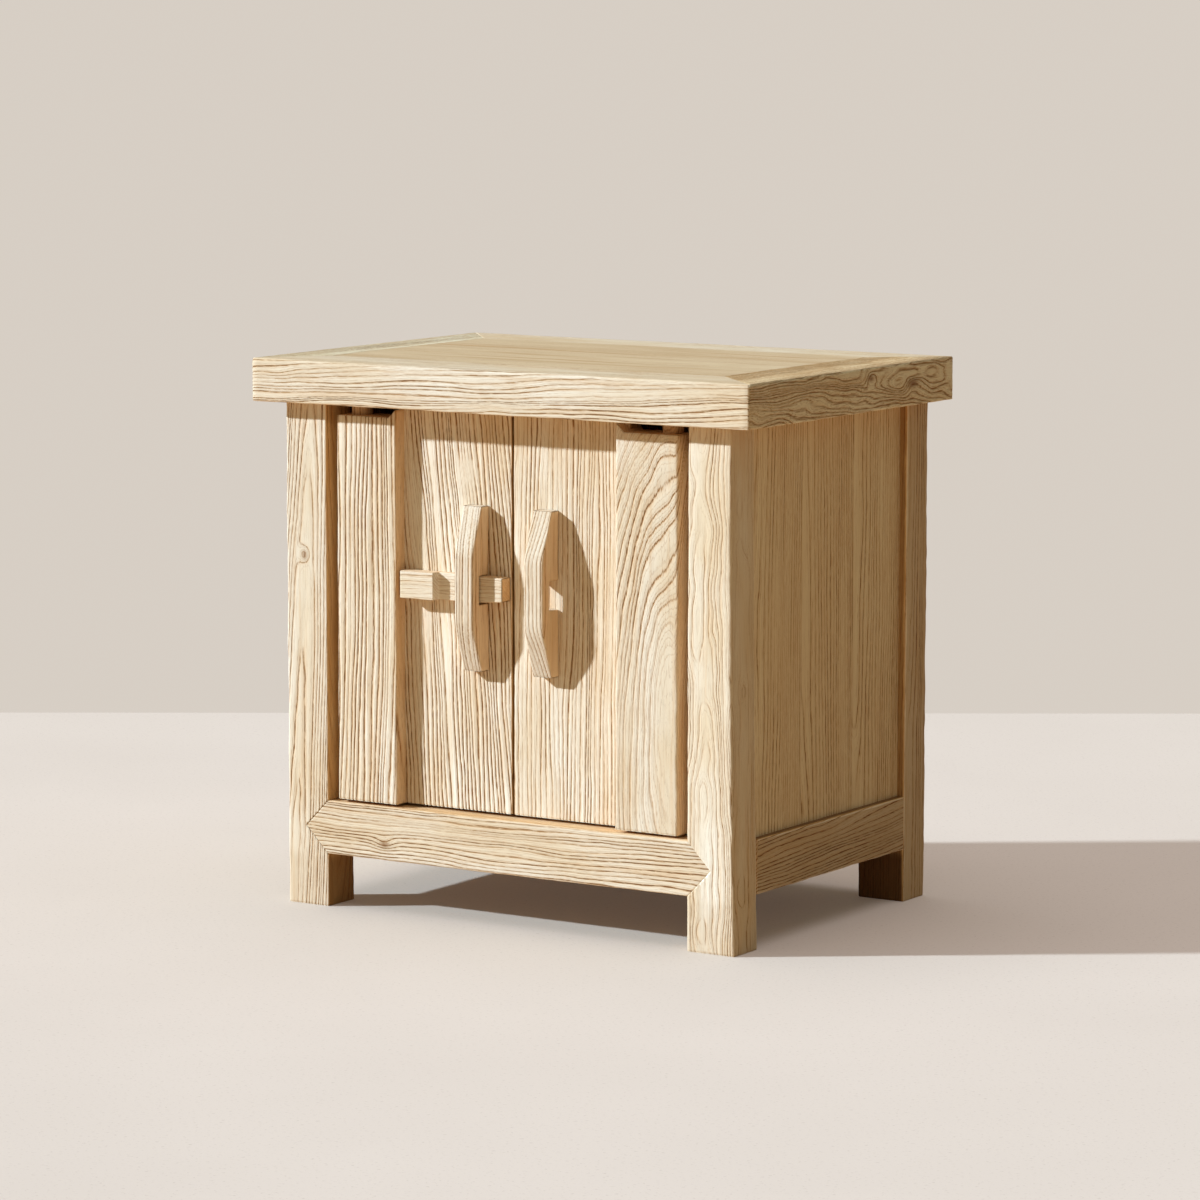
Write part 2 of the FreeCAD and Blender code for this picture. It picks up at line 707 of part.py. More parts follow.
def door_board(side):
    _, inner = stile_sides(side)
    edge = outward(side, MEETING_LINE, "meeting_gap / 2")
    name = f"{side}_door_board"
    x = ordered(side, outward(side, inner, "groove_depth"), edge)
    y = (DOOR_BOARD_FRONT, DOOR_BOARD_BACK)
    plank = block(name + "_plank", x, y, (DOOR_BOTTOM, DOOR_TOP))
    hole = "peg_diameter + 2 * joint_clearance"
    holes = peg_rods(name + "_hole", side, hole, grown(y, "cut_overrun"))
    piece(name, cut(name + "_bored", plank, holes))
    outer, tip = outward(side, inner, "door_batten_lap"), outward(side, edge, "door_batten_setback")
    y = (DOOR_BOARD_BACK, DOOR_BATTEN_BACK)
    for level, z in door_batten_levels().items():
        name = f"{side}_door_batten_{level}"
        piece(name, block(name + "_bar", ordered(side, outer, tip), y, z))


def handle(side):
    """A tall faceted grip with a slot through its back for the latch bar."""
    name = f"{side}_handle"
    left, right = handle_sides(side)
    points = [
        (DOOR_BOARD_FRONT, HANDLE_BOTTOM),
        (DOOR_BOARD_FRONT, HANDLE_TOP),
        (HANDLE_END_FRONT, HANDLE_TOP),
        (HANDLE_FRONT, "handle_level + handle_flat / 2"),
        (HANDLE_FRONT, "handle_level - handle_flat / 2"),
        (HANDLE_END_FRONT, HANDLE_BOTTOM),
    ]
    body = outline_body(name + "_block", "YZ_Plane", points, "handle_width", left)
    front, end_front, back = (measure(y) for y in (HANDLE_FRONT, HANDLE_END_FRONT, DOOR_BOARD_FRONT))

    def bend(edge):
        return along(edge, ACROSS) and abs(edge.CenterOfMass.y - front) < TOLERANCE

    def front_arris(edge):
        if along(edge, ACROSS):
            return abs(edge.CenterOfMass.y - end_front) < TOLERANCE
        return edge.BoundBox.XLength < TOLERANCE and edge.BoundBox.YMax < back - TOLERANCE

    worn(body, "handle_bend_radius", bend)
    worn(body, "handle_arris", front_arris)
    slot = block(
        name + "_slot",
        grown((left, right), "cut_overrun"),
        (f"{BAR_FRONT} - slot_front_clearance", f"{DOOR_BOARD_FRONT} + cut_overrun"),
        grown((BAR_BOTTOM, BAR_TOP), "slot_side_clearance"),
    )
    grip = (f"{DOOR_BOARD_FRONT} - peg_grip - joint_clearance", f"{DOOR_BOARD_FRONT} + cut_overrun")
    hole = "peg_diameter + 2 * joint_clearance"
    piece(name, cut(name + "_shaped", body, [slot] + peg_rods(name + "_hole", side, hole, grip)))
    y = (f"{DOOR_BOARD_FRONT} - peg_grip", DOOR_BOARD_BACK)
    piece(name + "_pegs", joined(name + "_peg_pair", peg_rods(name + "_peg", side, "peg_diameter", y)))


def latch_bar():
    """Drawn to the left, clear of the meeting line: a head and a tail with a thin waist between."""
    points = [
        (BAR_LEFT, BAR_FRONT),
        (BAR_TAIL, BAR_FRONT),
        (BAR_TAIL, BAR_WAIST_FRONT),
        (BAR_HEAD, BAR_WAIST_FRONT),
        (BAR_HEAD, BAR_FRONT),
        (BAR_RIGHT, BAR_FRONT),
        (BAR_RIGHT, BAR_BACK),
        (BAR_LEFT, BAR_BACK),
    ]
    body = outline_body("latch_bar_blank", "XY_Plane", points, "bar_height", BAR_BOTTOM)
    front = measure(BAR_FRONT)

    def front_arris(edge):
        return abs(edge.BoundBox.YMin - front) < TOLERANCE and edge.BoundBox.YLength < TOLERANCE

    worn(body, "bar_arris", front_arris)
    start = f"{BAR_RIGHT} - bar_lead_length"
    beyond = f"{BAR_RIGHT} + cut_overrun"
    points = [
        (start, BAR_BOTTOM),
        (start, f"{BAR_BOTTOM} - cut_overrun"),
        (beyond, f"{BAR_BOTTOM} - cut_overrun"),
        (beyond, f"{BAR_BOTTOM} + bar_lead_rise"),
    ]
    thickness = "bar_thickness + 2 * cut_overrun"
    lead = outline_body("latch_bar_lead", "XZ_Plane", points, thickness, f"{BAR_FRONT} - cut_overrun")
    piece("latch_bar", cut("latch_bar_shaped", body, [lead]))


def build():
    fill_sheet()
    for end in ENDS:
        top_long_rail(end)
    for side in SIDES:
        top_end_rail(side)
    top_boards()
    for side in SIDES:
        piece(f"top_batten_{side}", block(f"top_batten_{side}_bar", *batten_places(side)))
    for end in ENDS:
        for side in SIDES:
            post(end, side)
        bottom_long_rail(end)
    for side in SIDES:
        bottom_side_rail(side)
        side_panel(side)
    back_panel()
    floor_boards()
    for side in SIDES:
        stile(side)
        door_board(side)
        handle(side)
    latch_bar()
    doc.recompute()


def check():
    for thing in doc.Objects:
        if "Invalid" in thing.State or "Error" in thing.State:
            raise RuntimeError(f"{thing.Label} failed: {thing.State}")
    for made in pieces:
        if made.Shape.isNull() or not made.Shape.isValid() or not made.Shape.Solids:
            raise RuntimeError(f"{made.Label} has no sound solid")


def write():
    os.makedirs("parts", exist_ok=True)
    for made in pieces:
        made.Shape.exportStep(f"parts/{made.Label}.step")
        print(made.Label, len(made.Shape.Solids), "solids", round(made.Shape.Volume), "mm3")


build()
check()
write()
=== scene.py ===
import json
import math

import bmesh
import bpy
import numpy as np
from mathutils import Euler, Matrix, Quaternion, Vector


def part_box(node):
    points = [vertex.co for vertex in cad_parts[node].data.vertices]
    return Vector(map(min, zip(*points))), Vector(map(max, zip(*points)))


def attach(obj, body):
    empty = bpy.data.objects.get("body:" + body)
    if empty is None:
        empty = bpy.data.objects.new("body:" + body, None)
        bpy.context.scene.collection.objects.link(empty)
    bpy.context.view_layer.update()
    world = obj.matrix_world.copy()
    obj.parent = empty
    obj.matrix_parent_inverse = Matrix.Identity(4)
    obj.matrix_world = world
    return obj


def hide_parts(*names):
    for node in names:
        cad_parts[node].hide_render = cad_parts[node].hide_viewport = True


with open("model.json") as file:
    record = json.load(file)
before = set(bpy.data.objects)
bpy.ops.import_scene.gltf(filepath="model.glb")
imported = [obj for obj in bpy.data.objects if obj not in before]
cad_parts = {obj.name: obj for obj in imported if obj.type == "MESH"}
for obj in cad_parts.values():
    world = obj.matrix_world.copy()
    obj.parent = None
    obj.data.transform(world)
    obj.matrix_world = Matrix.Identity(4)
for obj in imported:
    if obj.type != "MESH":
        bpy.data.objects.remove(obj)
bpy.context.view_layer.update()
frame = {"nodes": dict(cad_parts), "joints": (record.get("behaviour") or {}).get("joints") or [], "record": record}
record = frame["record"]
slotOf = {part["node"]: part["material_slot"] for part in record["subparts"]}
bodyOf = {node: body for body, members in record["behaviour"]["bodies"].items() for node in members}
print("frame loaded:", len(frame["nodes"]), "nodes")

# Camera, light and floor

camera = {
    "place": (2.9654, -4.6701, 1.0639),
    "target": (0.00321, -0.0120, 0.34575),
    "lens": 148.02,
    "sensor": 36,
    "reach": 100,
    "roll": 0.0522,  # degrees
}
light = {
    "from": (-0.820, -0.572, 0.508),  # towards the sun
    "sun": 4.7,
    "sunColour": (0.86, 1.0, 1.12),
    "sunAngle": 2.1,  # degrees, so that shadows keep a firm edge
    "fill": (0.238, 0.228, 0.168),  # what the room throws on the wood
    "wall": (0.680, 0.620, 0.555),  # what is seen of it behind the floor's edge
}
ceiling = {"height": 10, "width": 13, "power": 720, "colour": (1.0, 0.91, 1.00)}  # lights the floor only
ground = {
    "near": 16,
    "behind": 1.40,  # from the middle of the cabinet to where the wall starts
    "side": 14,
    "colour": (198, 190, 180),
    "shade": (189, 181, 171),
    "cloudSize": 0.45,
    "speck": (180, 171, 161),
    "speckSize": 0.004,
    "bounce": (172, 142, 103),  # its colour for the light that it throws back
    "haze": (0.060, 0.046, 0.036),  # what light the room leaves under the cabinet
    "roughness": 0.9,
    "gloss": 0.2,
}


def tint(red, green, blue):
    # an sRGB colour as the linear one that sockets take
    parts = [part / 255 for part in (red, green, blue)]
    return tuple(p / 12.92 if p <= 0.04045 else ((p + 0.055) / 1.055) ** 2.4 for p in parts) + (1,)


def setCamera():
    # returns the way it looks, as an angle from straight ahead
    data = bpy.data.cameras.new("camera")
    data.lens = camera["lens"]
    data.sensor_width = camera["sensor"]
    data.clip_end = camera["reach"]
    eye = bpy.data.objects.new("camera", data)
    bpy.context.scene.collection.objects.link(eye)
    heading = Vector(camera["target"]) - Vector(camera["place"])
    roll = Quaternion((0, 0, 1), math.radians(camera["roll"]))
    eye.rotation_mode = "QUATERNION"
    eye.location = camera["place"]
    eye.rotation_quaternion = heading.to_track_quat("-Z", "Y") @ roll
    bpy.context.scene.camera = eye
    return math.atan2(-heading.x, heading.y)


# Shader maths


class Wire:
    # a node's output, on which Python's operators add Math nodes
    def __init__(self, shader, socket):
        self.shader = shader
        self.socket = socket

    def __add__(self, other):
        return self.shader.maths("ADD", self, other)

    def __radd__(self, other):
        return self.shader.maths("ADD", other, self)

    def __sub__(self, other):
        return self.shader.maths("SUBTRACT", self, other)

    def __rsub__(self, other):
        return self.shader.maths("SUBTRACT", other, self)

    def __mul__(self, other):
        return self.shader.maths("MULTIPLY", self, other)

    def __rmul__(self, other):
        return self.shader.maths("MULTIPLY", other, self)

    def within(self, low, high, smooth=True):
        # 0 at low, 1 at high, held beyond both
        settings = {"interpolation_type": "SMOOTHSTEP" if smooth else "LINEAR"}
        values = {"Value": self, "From Min": low, "From Max": high}
        return self.shader.add("ShaderNodeMapRange", settings, values, "Result")


class Shader:
    def __init__(self, owner, surface="Principled BSDF"):
        # owner is a new material or world, surface its first shader node
        owner.use_nodes = True
        self.tree = owner.node_tree
        self.inputs = self.tree.nodes[surface].inputs

    def add(self, kind, settings=None, values=None, output=0):
        node = self.tree.nodes.new(kind)
        for key, value in (settings or {}).items():
            setattr(node, key, value)
        for key, value in (values or {}).items():
            self.feed(node.inputs[key], value)
        return Wire(self, node.outputs[output])

    def feed(self, socket, value):
        if isinstance(value, Wire):
            self.tree.links.new(value.socket, socket)
        else:
            socket.default_value = value

    def maths(self, operation, *values):
        return self.add("ShaderNodeMath", {"operation": operation}, dict(enumerate(values)))

    def unlit(self):
        # 1 for the rays that see the surface itself, 0 for those that carry its light
        names = ("Is Camera Ray", "Is Glossy Ray")
        rays = [self.add("ShaderNodeLightPath", output=name) for name in names]
        return self.maths("MAXIMUM", *rays)

    def split(self, vector):
        parts = self.add("ShaderNodeSeparateXYZ", values={"Vector": vector})
        return [Wire(self, socket) for socket in parts.socket.node.outputs]

    def mix(self, factor, first, second, way="MIX"):
        settings = {"data_type": "RGBA", "blend_type": way}
        return self.add("ShaderNodeMix", settings, {0: factor, 6: first, 7: second}, 2)

    def noise(self, cells, detail=2, roughness=0.5, offset=0):
        # a noise whose cells reach that far along each axis, in metres
        scale = [1 / cell for cell in cells]
        place = self.add("ShaderNodeTexCoord", output="Object")
        values = {"Vector": place, "Location": (offset, offset, offset), "Scale": scale}
        mapped = self.add("ShaderNodeMapping", values=values)
        values = {"Vector": mapped, "Scale": 1, "Detail": detail, "Roughness": roughness}
        return self.add("ShaderNodeTexNoise", values=values, output="Fac")


def addLamp(name, kind, energy, colour):
    lamp = bpy.data.lights.new(name, kind)
    lamp.energy = energy
    lamp.color = colour
    holder = bpy.data.objects.new(name, lamp)
    bpy.context.scene.collection.objects.link(holder)
    return lamp, holder


def setLights(floor):
    sun, holder = addLamp("sun", "SUN", light["sun"], light["sunColour"])
    sun.angle = math.radians(light["sunAngle"])
    holder.rotation_mode = "QUATERNION"
    holder.rotation_quaternion = Vector(light["from"]).to_track_quat("Z", "Y")

    disk, holder = addLamp("ceiling", "AREA", ceiling["power"], ceiling["colour"])
    disk.shape = "DISK"
    disk.size = ceiling["width"]
    holder.location.z = ceiling["height"]
    holder.visible_camera = False
    lit = bpy.data.collections.new("lit by the ceiling")
    lit.objects.link(floor)
    holder.light_linking.receiver_collection = lit

    world = bpy.data.worlds.new("room")
    bpy.context.scene.world = world
    shader = Shader(world, "Background")
    colour = shader.mix(shader.unlit(), light["fill"] + (1,), light["wall"] + (1,))
    shader.feed(shader.inputs["Color"], colour)


def makeFloor(yaw):
    mesh = bpy.data.meshes.new("floor")
    bm = bmesh.new()
    bmesh.ops.create_grid(bm, x_segments=1, y_segments=1, size=1)
    depth = (ground["near"] + ground["behind"]) / 2
    bmesh.ops.scale(bm, vec=(ground["side"], depth, 1), verts=bm.verts)
    bmesh.ops.translate(bm, vec=(0, ground["behind"] - depth, 0), verts=bm.verts)
    bmesh.ops.rotate(bm, matrix=Euler((0, 0, yaw)).to_matrix(), verts=bm.verts)
    bm.to_mesh(mesh)
    bm.free()
    floor = bpy.data.objects.new("floor", mesh)
    bpy.context.scene.collection.objects.link(floor)

    plaster = bpy.data.materials.new("plaster")
    shader = Shader(plaster)
    cloud = shader.noise([ground["cloudSize"]] * 3, detail=4)
    speck = shader.noise([ground["speckSize"]] * 3, detail=2)
    pale = shader.mix(cloud, tint(*ground["shade"]), tint(*ground["colour"]))
    pale = shader.mix(speck.within(0.25, 0.42), tint(*ground["speck"]), pale)
    shader.feed(shader.inputs["Base Color"], shader.mix(shader.unlit(), tint(*ground["bounce"]), pale))
    haze = shader.mix(shader.unlit(), (0, 0, 0, 1), ground["haze"] + (1,))
    shader.feed(shader.inputs["Emission Color"], haze)
    shader.feed(shader.inputs["Emission Strength"], 1)
    shader.feed(shader.inputs["Roughness"], ground["roughness"])
    shader.feed(shader.inputs["Specular IOR Level"], ground["gloss"])
    mesh.materials.append(plaster)
    return floor


bpy.context.scene.view_settings.view_transform = "Standard"
setLights(makeFloor(setCamera()))
print("camera, light and floor set")

# Wood: what its grain is, and how it shows

mm = 0.001
grainDefaults = {
    "spacing": 3.2 * mm,  # between growth rings
    "pith": (0.0, 0.09),  # from the middle of the face: across it, and behind it
    "lean": (0.0, 0.0),  # how far the pith drifts for each metre of length
    "bend": 0.0,  # how fast its drift behind the face grows
    "uneven": 0.6,  # how far the rings crowd together and part again
    "wander": 0.9,  # how many rings the grain strays by
    "curl": 0.0,  # and in small whorls
    "open": 0.55,  # how far the softer wood is brushed out
    "groove": 0.28 * mm,
    "hollow": 0.35 * mm,  # slow waves that hand planing leaves
    "knots": (),  # along, across, half length, half width, how many rings it pushes aside
    "swells": (),  # the same for slow bends of the grain, with no heart
    "smooth": (),  # places rubbed plain: along, across, half length, half width, what is left
}
ringWaves = (  # what shifts the rings: which value, what share, its reach in metres, its own seed
    ("wander", 1.0, (0.34, 0.06, 0.09), 0),
    ("wander", 0.42, (0.10, 0.020, 0.04), 1),
    ("wander", 0.11, (0.026, 0.009, 0.02), 10),
    ("curl", 1.0, (0.055, 0.024, 0.03), 2),
    ("curl", 0.4, (0.022, 0.012, 0.015), 8),
)
lineWaves = (  # what changes a ring's strength: share, reach in rings and metres, its own seed
    (1.0, (1.4, 0.12, 1), 3),
    (0.7, (4.5, 0.30, 1), 4),
)
knotHeart = 0.45  # the dark heart's share of a knot
# painted shade on the legs below the front rail: how each orange amount changes there, and over what height
legShadeBelowRail = {"rawAndShade": (-0.3, 0, 0.5, 0.55), "change": (0, -0.16, -0.16, 0.5), "soft": 8 * mm}
tiny = 1e-6
scramble = {"cells": (73856093, 19349663, 83492791), "seed": 40503, "mix": 73244475, "mask": 0xFFFFFFFF}


def hashed(cells, seed):
    # one fixed number from -1 to 1 for each whole-number cell
    mask = scramble["mask"]
    mixed = (cells * scramble["cells"]).sum(axis=1) + seed * scramble["seed"] & mask
    for turn in range(2):
        mixed = (mixed >> 16 ^ mixed) * scramble["mix"] & mask
    return (mixed >> 16 ^ mixed) / 2**31 - 1


def smoothNoise(places, reach, seed):
    # from -1 to 1, in cells that reach that far along each axis
    scaled = places / reach
    cell = np.floor(scaled).astype(np.int64)
    part = scaled - cell
    part = part * part * (3 - 2 * part)
    total = np.zeros(len(places))
    for corner in range(8):
        step = np.array([corner & 1, corner >> 1 & 1, corner >> 2])
        weight = np.where(step, part, 1 - part).prod(axis=1)
        total += weight * hashed(cell + step, seed)
    return total


def ringsAt(local, grain, seed):
    # growth-ring count at places given along, across and behind a plank's face
    along, across, behind = local.T
    pithAcross = grain["pith"][0] + grain["lean"][0] * along
    pithBehind = grain["pith"][1] + (grain["lean"][1] + grain["bend"] * along) * along
    ring = np.hypot(across - pithAcross, behind - pithBehind) / grain["spacing"]
    for key, share, reach, ownSeed in ringWaves:
        if grain[key]:
            ring += grain[key] * share * smoothNoise(local, reach, seed + ownSeed)
    for knot in grain["knots"] + grain["swells"]:
        ring += knot[4] * knotAt(local, knot)
    layered = np.column_stack([ring, along, np.zeros(len(ring))])
    return ring + grain["uneven"] * smoothNoise(layered, (1.7, 0.4, 1), seed + 9)


def knotAt(local, knot, spread=1.0):
    # 1 at the knot's heart, fading over its size
    along, across, length, width = knot[:4]
    off = np.hypot((local[:, 0] - along) / length, (local[:, 1] - across) / width)
    return np.exp(-(off / spread) ** 2)


def crowding(local, normal, ring, grain, seed):
    # how close the rings lie on the surface, next to their own spacing
    step = 1 * mm
    slopes = [ringsAt(local + step * unit, grain, seed) - ring for unit in np.eye(3)]
    slopes = np.column_stack(slopes) / step
    slopes -= normal * (slopes * normal).sum(axis=1)[:, None]
    return np.linalg.norm(slopes, axis=1) * grain["spacing"]


def openAt(local, ring, grain, seed):
    # how strongly each ring shows, along its length too
    layered = np.column_stack([ring, local[:, 0], np.zeros(len(ring))])
    strength = sum(share * smoothNoise(layered, reach, seed + own) for share, reach, own in lineWaves)
    strength = np.clip(grain["open"] * (1 + 0.75 * strength), 0.04, 1.15)
    for along, across, halfLength, halfWidth, left in grain["smooth"]:
        off = ((local[:, 0] - along) / halfLength) ** 4 + ((local[:, 1] - across) / halfWidth) ** 4
        strength *= 1 - (1 - left) * np.exp(-off)
    return strength


def rowsOf(length, step, edge):
    # places along one side, closer together at both ends
    count = max(round((length - 2 * edge) / step), 1)
    middle = np.linspace(edge, length - edge, count + 1)
    near = 0.35 * edge
    return np.concatenate([[0, near], middle, [length - near, length]])


def gridBlock(low, high, steps, edge):
    # a box divided into rows on every side
    rows = [rowsOf(high[axis] - low[axis], steps[axis], edge) for axis in range(3)]
    bm = bmesh.new()
    bmesh.ops.create_cube(bm, size=1)
    bmesh.ops.translate(bm, vec=(0.5, 0.5, 0.5), verts=bm.verts)
    for axis in range(3):
        whole = [e for e in bm.edges if abs(e.verts[0].co[axis] - e.verts[1].co[axis]) > 0.5]
        cuts = len(rows[axis]) - 2
        bmesh.ops.subdivide_edges(bm, edges=whole, cuts=cuts, use_grid_fill=True)
    for vert in bm.verts:
        for axis in range(3):
            row = round(vert.co[axis] * (len(rows[axis]) - 1))
            vert.co[axis] = low[axis] + rows[axis][row]
    return bm


def readPlaces(mesh):
    places = np.empty(len(mesh.vertices) * 3)
    mesh.vertices.foreach_get("co", places)
    return places.reshape(-1, 3)


def roundOff(places, low, high, axes, arris, seed):
    # wears the long arrises; returns the places, the outward directions and which are on a side
    along, across, behind = axes
    near, sign = {}, {}
    for axis in (across, behind):
        toLow, toHigh = places[:, axis] - low[axis], high[axis] - places[:, axis]
        sign[axis] = np.where(toLow < toHigh, -1, 1)
        near[axis] = np.minimum(toLow, toHigh)
    corner = (sign[across] > 0) * 1 + (sign[behind] > 0) * 2
    spot = np.column_stack([places[:, along], corner * 7.0, np.zeros(len(places))])
    worn = 1 + 0.28 * smoothNoise(spot, (0.045, 1, 1), seed)
    worn += 0.3 * smoothNoise(spot, (0.012, 1, 1), seed + 5)
    radius = np.array(arris)[corner] * worn
    push = {axis: sign[axis] * np.clip(1 - near[axis] / radius, 0, 1) for axis in near}
    reach = np.hypot(push[across], push[behind])
    onSide = np.maximum(abs(push[across]), abs(push[behind])) > 0.999
    outward = np.zeros_like(places)
    shaped = places.copy()
    for axis in near:
        inRadius = near[axis] < radius
        side = np.where(sign[axis] < 0, low[axis], high[axis])
        bent = side - sign[axis] * radius + radius * push[axis] / np.maximum(reach, 1)
        shaped[:, axis] = np.where(inRadius, bent, places[:, axis])
        outward[:, axis] = np.where(onSide, push[axis] / np.maximum(reach, tiny), 0)
    return shaped, outward, onSide


def localPlaces(places, low, high, axes, face):
    # along and across from the middle of the face, and how far behind it
    along, across, behind = axes
    middle = (np.array(low) + np.array(high)) / 2
    front = low[behind] if face < 0 else high[behind]
    depth = (places[:, behind] - front) * -face
    return np.column_stack([places[:, along] - middle[along], places[:, across] - middle[across], depth])


def finishPiece(mesh, node, material):
    mesh.shade_smooth()
    mesh.materials.append(material)
    piece = bpy.data.objects.new(node + "_timber", mesh)
    bpy.context.scene.collection.objects.link(piece)
    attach(piece, bodyOf[node])
    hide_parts(node)


def storeMarks(mesh, name, *marks):
    # three numbers for each vertex, which the shader reads as one vector
    layer = mesh.attributes.new(name, "FLOAT_VECTOR", "POINT")
    layer.data.foreach_set("vector", np.column_stack(marks).astype(np.float32).ravel())


def weather(mesh, low, high, axes, face, arris, grain, seed, tight, shape, endRadius, rawAndShade, dimUnder):
    # rounds, grooves and marks a divided block as brushed wood
    grain = grainDefaults | grain
    along, across, behind = axes
    places = readPlaces(mesh)
    shaped, outward, onSide = roundOff(places, low, high, axes, arris, seed)

    # how far the ends' edges are rounded
    toEnd = np.minimum(places[:, along] - low[along], high[along] - places[:, along])
    lack = np.clip(endRadius - toEnd, 0, endRadius)
    inset = endRadius - np.sqrt(endRadius**2 - lack**2)

    # the grain, and how deep it is brushed and planed
    local = localPlaces(shape(shaped) if shape else shaped, low, high, axes, face)
    ring = ringsAt(local, grain, seed)
    opened = openAt(local, ring, grain, seed)
    tone = 0.5 + 0.5 * smoothNoise(local, (0.26, 0.03, 0.05), seed + 6)
    valley = (0.5 + 0.5 * np.cos(2 * np.pi * (ring - 0.5))) ** 1.6
    depth = grain["groove"] * opened * valley
    depth += grain["hollow"] * (0.5 + 0.5 * smoothNoise(local, (0.16, 0.035, 0.05), seed + 7))
    free = np.ones(len(places))  # 0 on the sides that meet another piece
    for axis, sign in tight:
        free *= 1 - np.clip(outward[:, axis] * sign, 0, 1)
    moved = shaped - outward * (depth * free + inset)[:, None]
    if shape:
        moved = shape(moved)
    mesh.vertices.foreach_set("co", moved.ravel())

    # how orange the wood is on each side, partly browner wood and partly painted shade, and more painted shade low
    # on the legs
    normal = np.column_stack([outward[:, along], outward[:, across], -face * outward[:, behind]])
    sides = {(across, -1): rawAndShade[0], (across, 1): rawAndShade[1], (behind, -face): rawAndShade[2], (behind, face): rawAndShade[4]}
    bareAndShade = np.where(onSide, 0, rawAndShade[3])
    for (axis, sign), amount in sides.items():
        bareAndShade = bareAndShade + amount * np.clip(outward[:, axis] * sign, 0, 1)
    change = np.interp(bareAndShade, legShadeBelowRail["rawAndShade"], legShadeBelowRail["change"])
    bareAndShade += change * np.clip((dimUnder - places[:, 2]) / legShadeBelowRail["soft"], 0, 1)
    opened = opened * (1 - 0.5 * np.clip(bareAndShade, 0, 1))
    hearts = sum(knotAt(local, knot, knotHeart) for knot in grain["knots"]) + np.zeros(len(ring))
    storeMarks(mesh, "figure", ring, opened, tone)
    storeMarks(mesh, "surface", crowding(local, normal, ring, grain, seed), bareAndShade, hearts)
    mesh.update()


def timber(name, grainAxis, look):
    # brushed elm, its rings read from the piece's own figure
    look = lookDefaults | look
    material = bpy.data.materials.new(name)
    shader = Shader(material)
    figure = shader.add("ShaderNodeAttribute", {"attribute_name": "figure"}, output="Vector")
    ring, opened, tone = shader.split(figure)
    surface = shader.add("ShaderNodeAttribute", {"attribute_name": "surface"}, output="Vector")
    crowd, bareAndShade, heart = shader.split(surface)

    def along(length, width):
        return [length if axis == grainAxis else width for axis in range(3)]

    fibres = shader.noise(along(*look["fibre"]), detail=3, roughness=0.6)
    pores = shader.noise(along(*look["pore"]), detail=2, roughness=0.6, offset=3.1)
    streaks = shader.noise(along(*look["streak"]), detail=2, offset=7.7)
    blotch = shader.noise(along(*look["blotch"]), detail=2, offset=1.3)

    # a line in each ring, finer ones between, and the pores that break them
    ragged = ring + (fibres - 0.5) * look["ragged"]
    away = shader.maths("ABSOLUTE", shader.maths("FRACT", ragged) - 0.5) * 2
    line = 1 - away.within(0.0, look["width"] * crowd.within(-0.25, 1.1, False))
    between = shader.maths("ABSOLUTE", shader.maths("FRACT", ragged * 3 + 0.2) - 0.5) * 2
    hair = (1 - between.within(0.0, 0.8 * crowd.within(-0.25, 1.1, False))) * pores.within(0.3, 0.6)
    broken = 0.15 + pores.within(0.32, 0.56) * 0.85
    weathered = crowd.within(0.0, 0.32)
    dug = line * opened * broken * weathered
    beside = (1 - away.within(0.1, 0.75)) * opened * weathered

    # colour, from the palest wood to the darkest line
    warmth = tone.within(0.1, 0.9) * 0.55 + blotch.within(0.35, 0.7) * 0.45
    wood = shader.mix(warmth, look["pale"], look["warm"])
    wood = shader.mix(streaks.within(0.52, 0.72) * look["streaks"], wood, look["rust"])
    wood = shader.mix(beside * look["bands"], wood, look["rust"])
    wood = shader.mix((1 - fibres.within(0.28, 0.5)) * look["fibres"], wood, look["brown"])
    wood = shader.mix(hair * look["hairs"] * weathered, wood, look["brown"])
    wood = shader.mix(shader.maths("MINIMUM", dug * look["lines"] * 1.5, 1.0), wood, look["brown"])
    wood = shader.mix(dug.within(0.45, 1.0) * look["lines"], wood, look["dark"])
    wood = shader.mix((1 - pores.within(0.26, 0.40)) * look["pits"], wood, look["dark"])
    wood = shader.mix(heart * 0.9, wood, look["dark"])
    # orange for browner wood and painted warm shade; over 1 painted shade; below 0 duller, painted shade on shaded
    # sides
    wood = shader.mix(bareAndShade, wood, look["bareAndShade"], "MULTIPLY")
    wood = shader.mix(bareAndShade - 1, wood, look["deep"], "MULTIPLY")
    wood = shader.mix(bareAndShade * -1, wood, look["dull"], "MULTIPLY")
    shader.feed(shader.inputs["Base Color"], wood)

    height = fibres * 0.35 + pores * 0.15 + streaks * 0.2 - dug - hair * 0.2
    values = {"Height": height, "Distance": look["relief"], "Strength": 1.0}
    shader.feed(shader.inputs["Normal"], shader.add("ShaderNodeBump", values=values, output="Normal"))
    shader.feed(shader.inputs["Roughness"], look["roughness"] + dug * 0.2)
    shader.feed(shader.inputs["Specular IOR Level"], look["gloss"])
    return material


lookDefaults = {
    "pale": tint(252, 243, 227),
    "warm": tint(238, 218, 187),
    "rust": tint(228, 190, 144),
    "brown": tint(188, 144, 97),
    "dark": tint(146, 101, 60),
    "bareAndShade": tint(238, 204, 156),  # wood inside, behind and at cut places, darker and more orange, and painted warm shade on the sides
    "deep": tint(95, 72, 45),  # painted shade in recesses, seams and low on the legs
    "dull": tint(172, 135, 62),  # a duller tone on some faces, and painted shade on the right-facing sides
    "fibre": (0.034, 0.0013),  # length and width of each, in metres
    "pore": (0.011, 0.0009),
    "streak": (0.20, 0.007),
    "blotch": (0.10, 0.035),
    "streaks": 0.35,  # how strongly each of these shows
    "bands": 0.4,
    "fibres": 0.25,
    "hairs": 0.5,
    "lines": 1.0,
    "pits": 0.2,
    "width": 0.5,  # of a line, and how ragged it is, in shares of a ring
    "ragged": 0.34,
    "relief": 0.6 * mm,
    "roughness": 0.70,
    "gloss": 0.25,
}
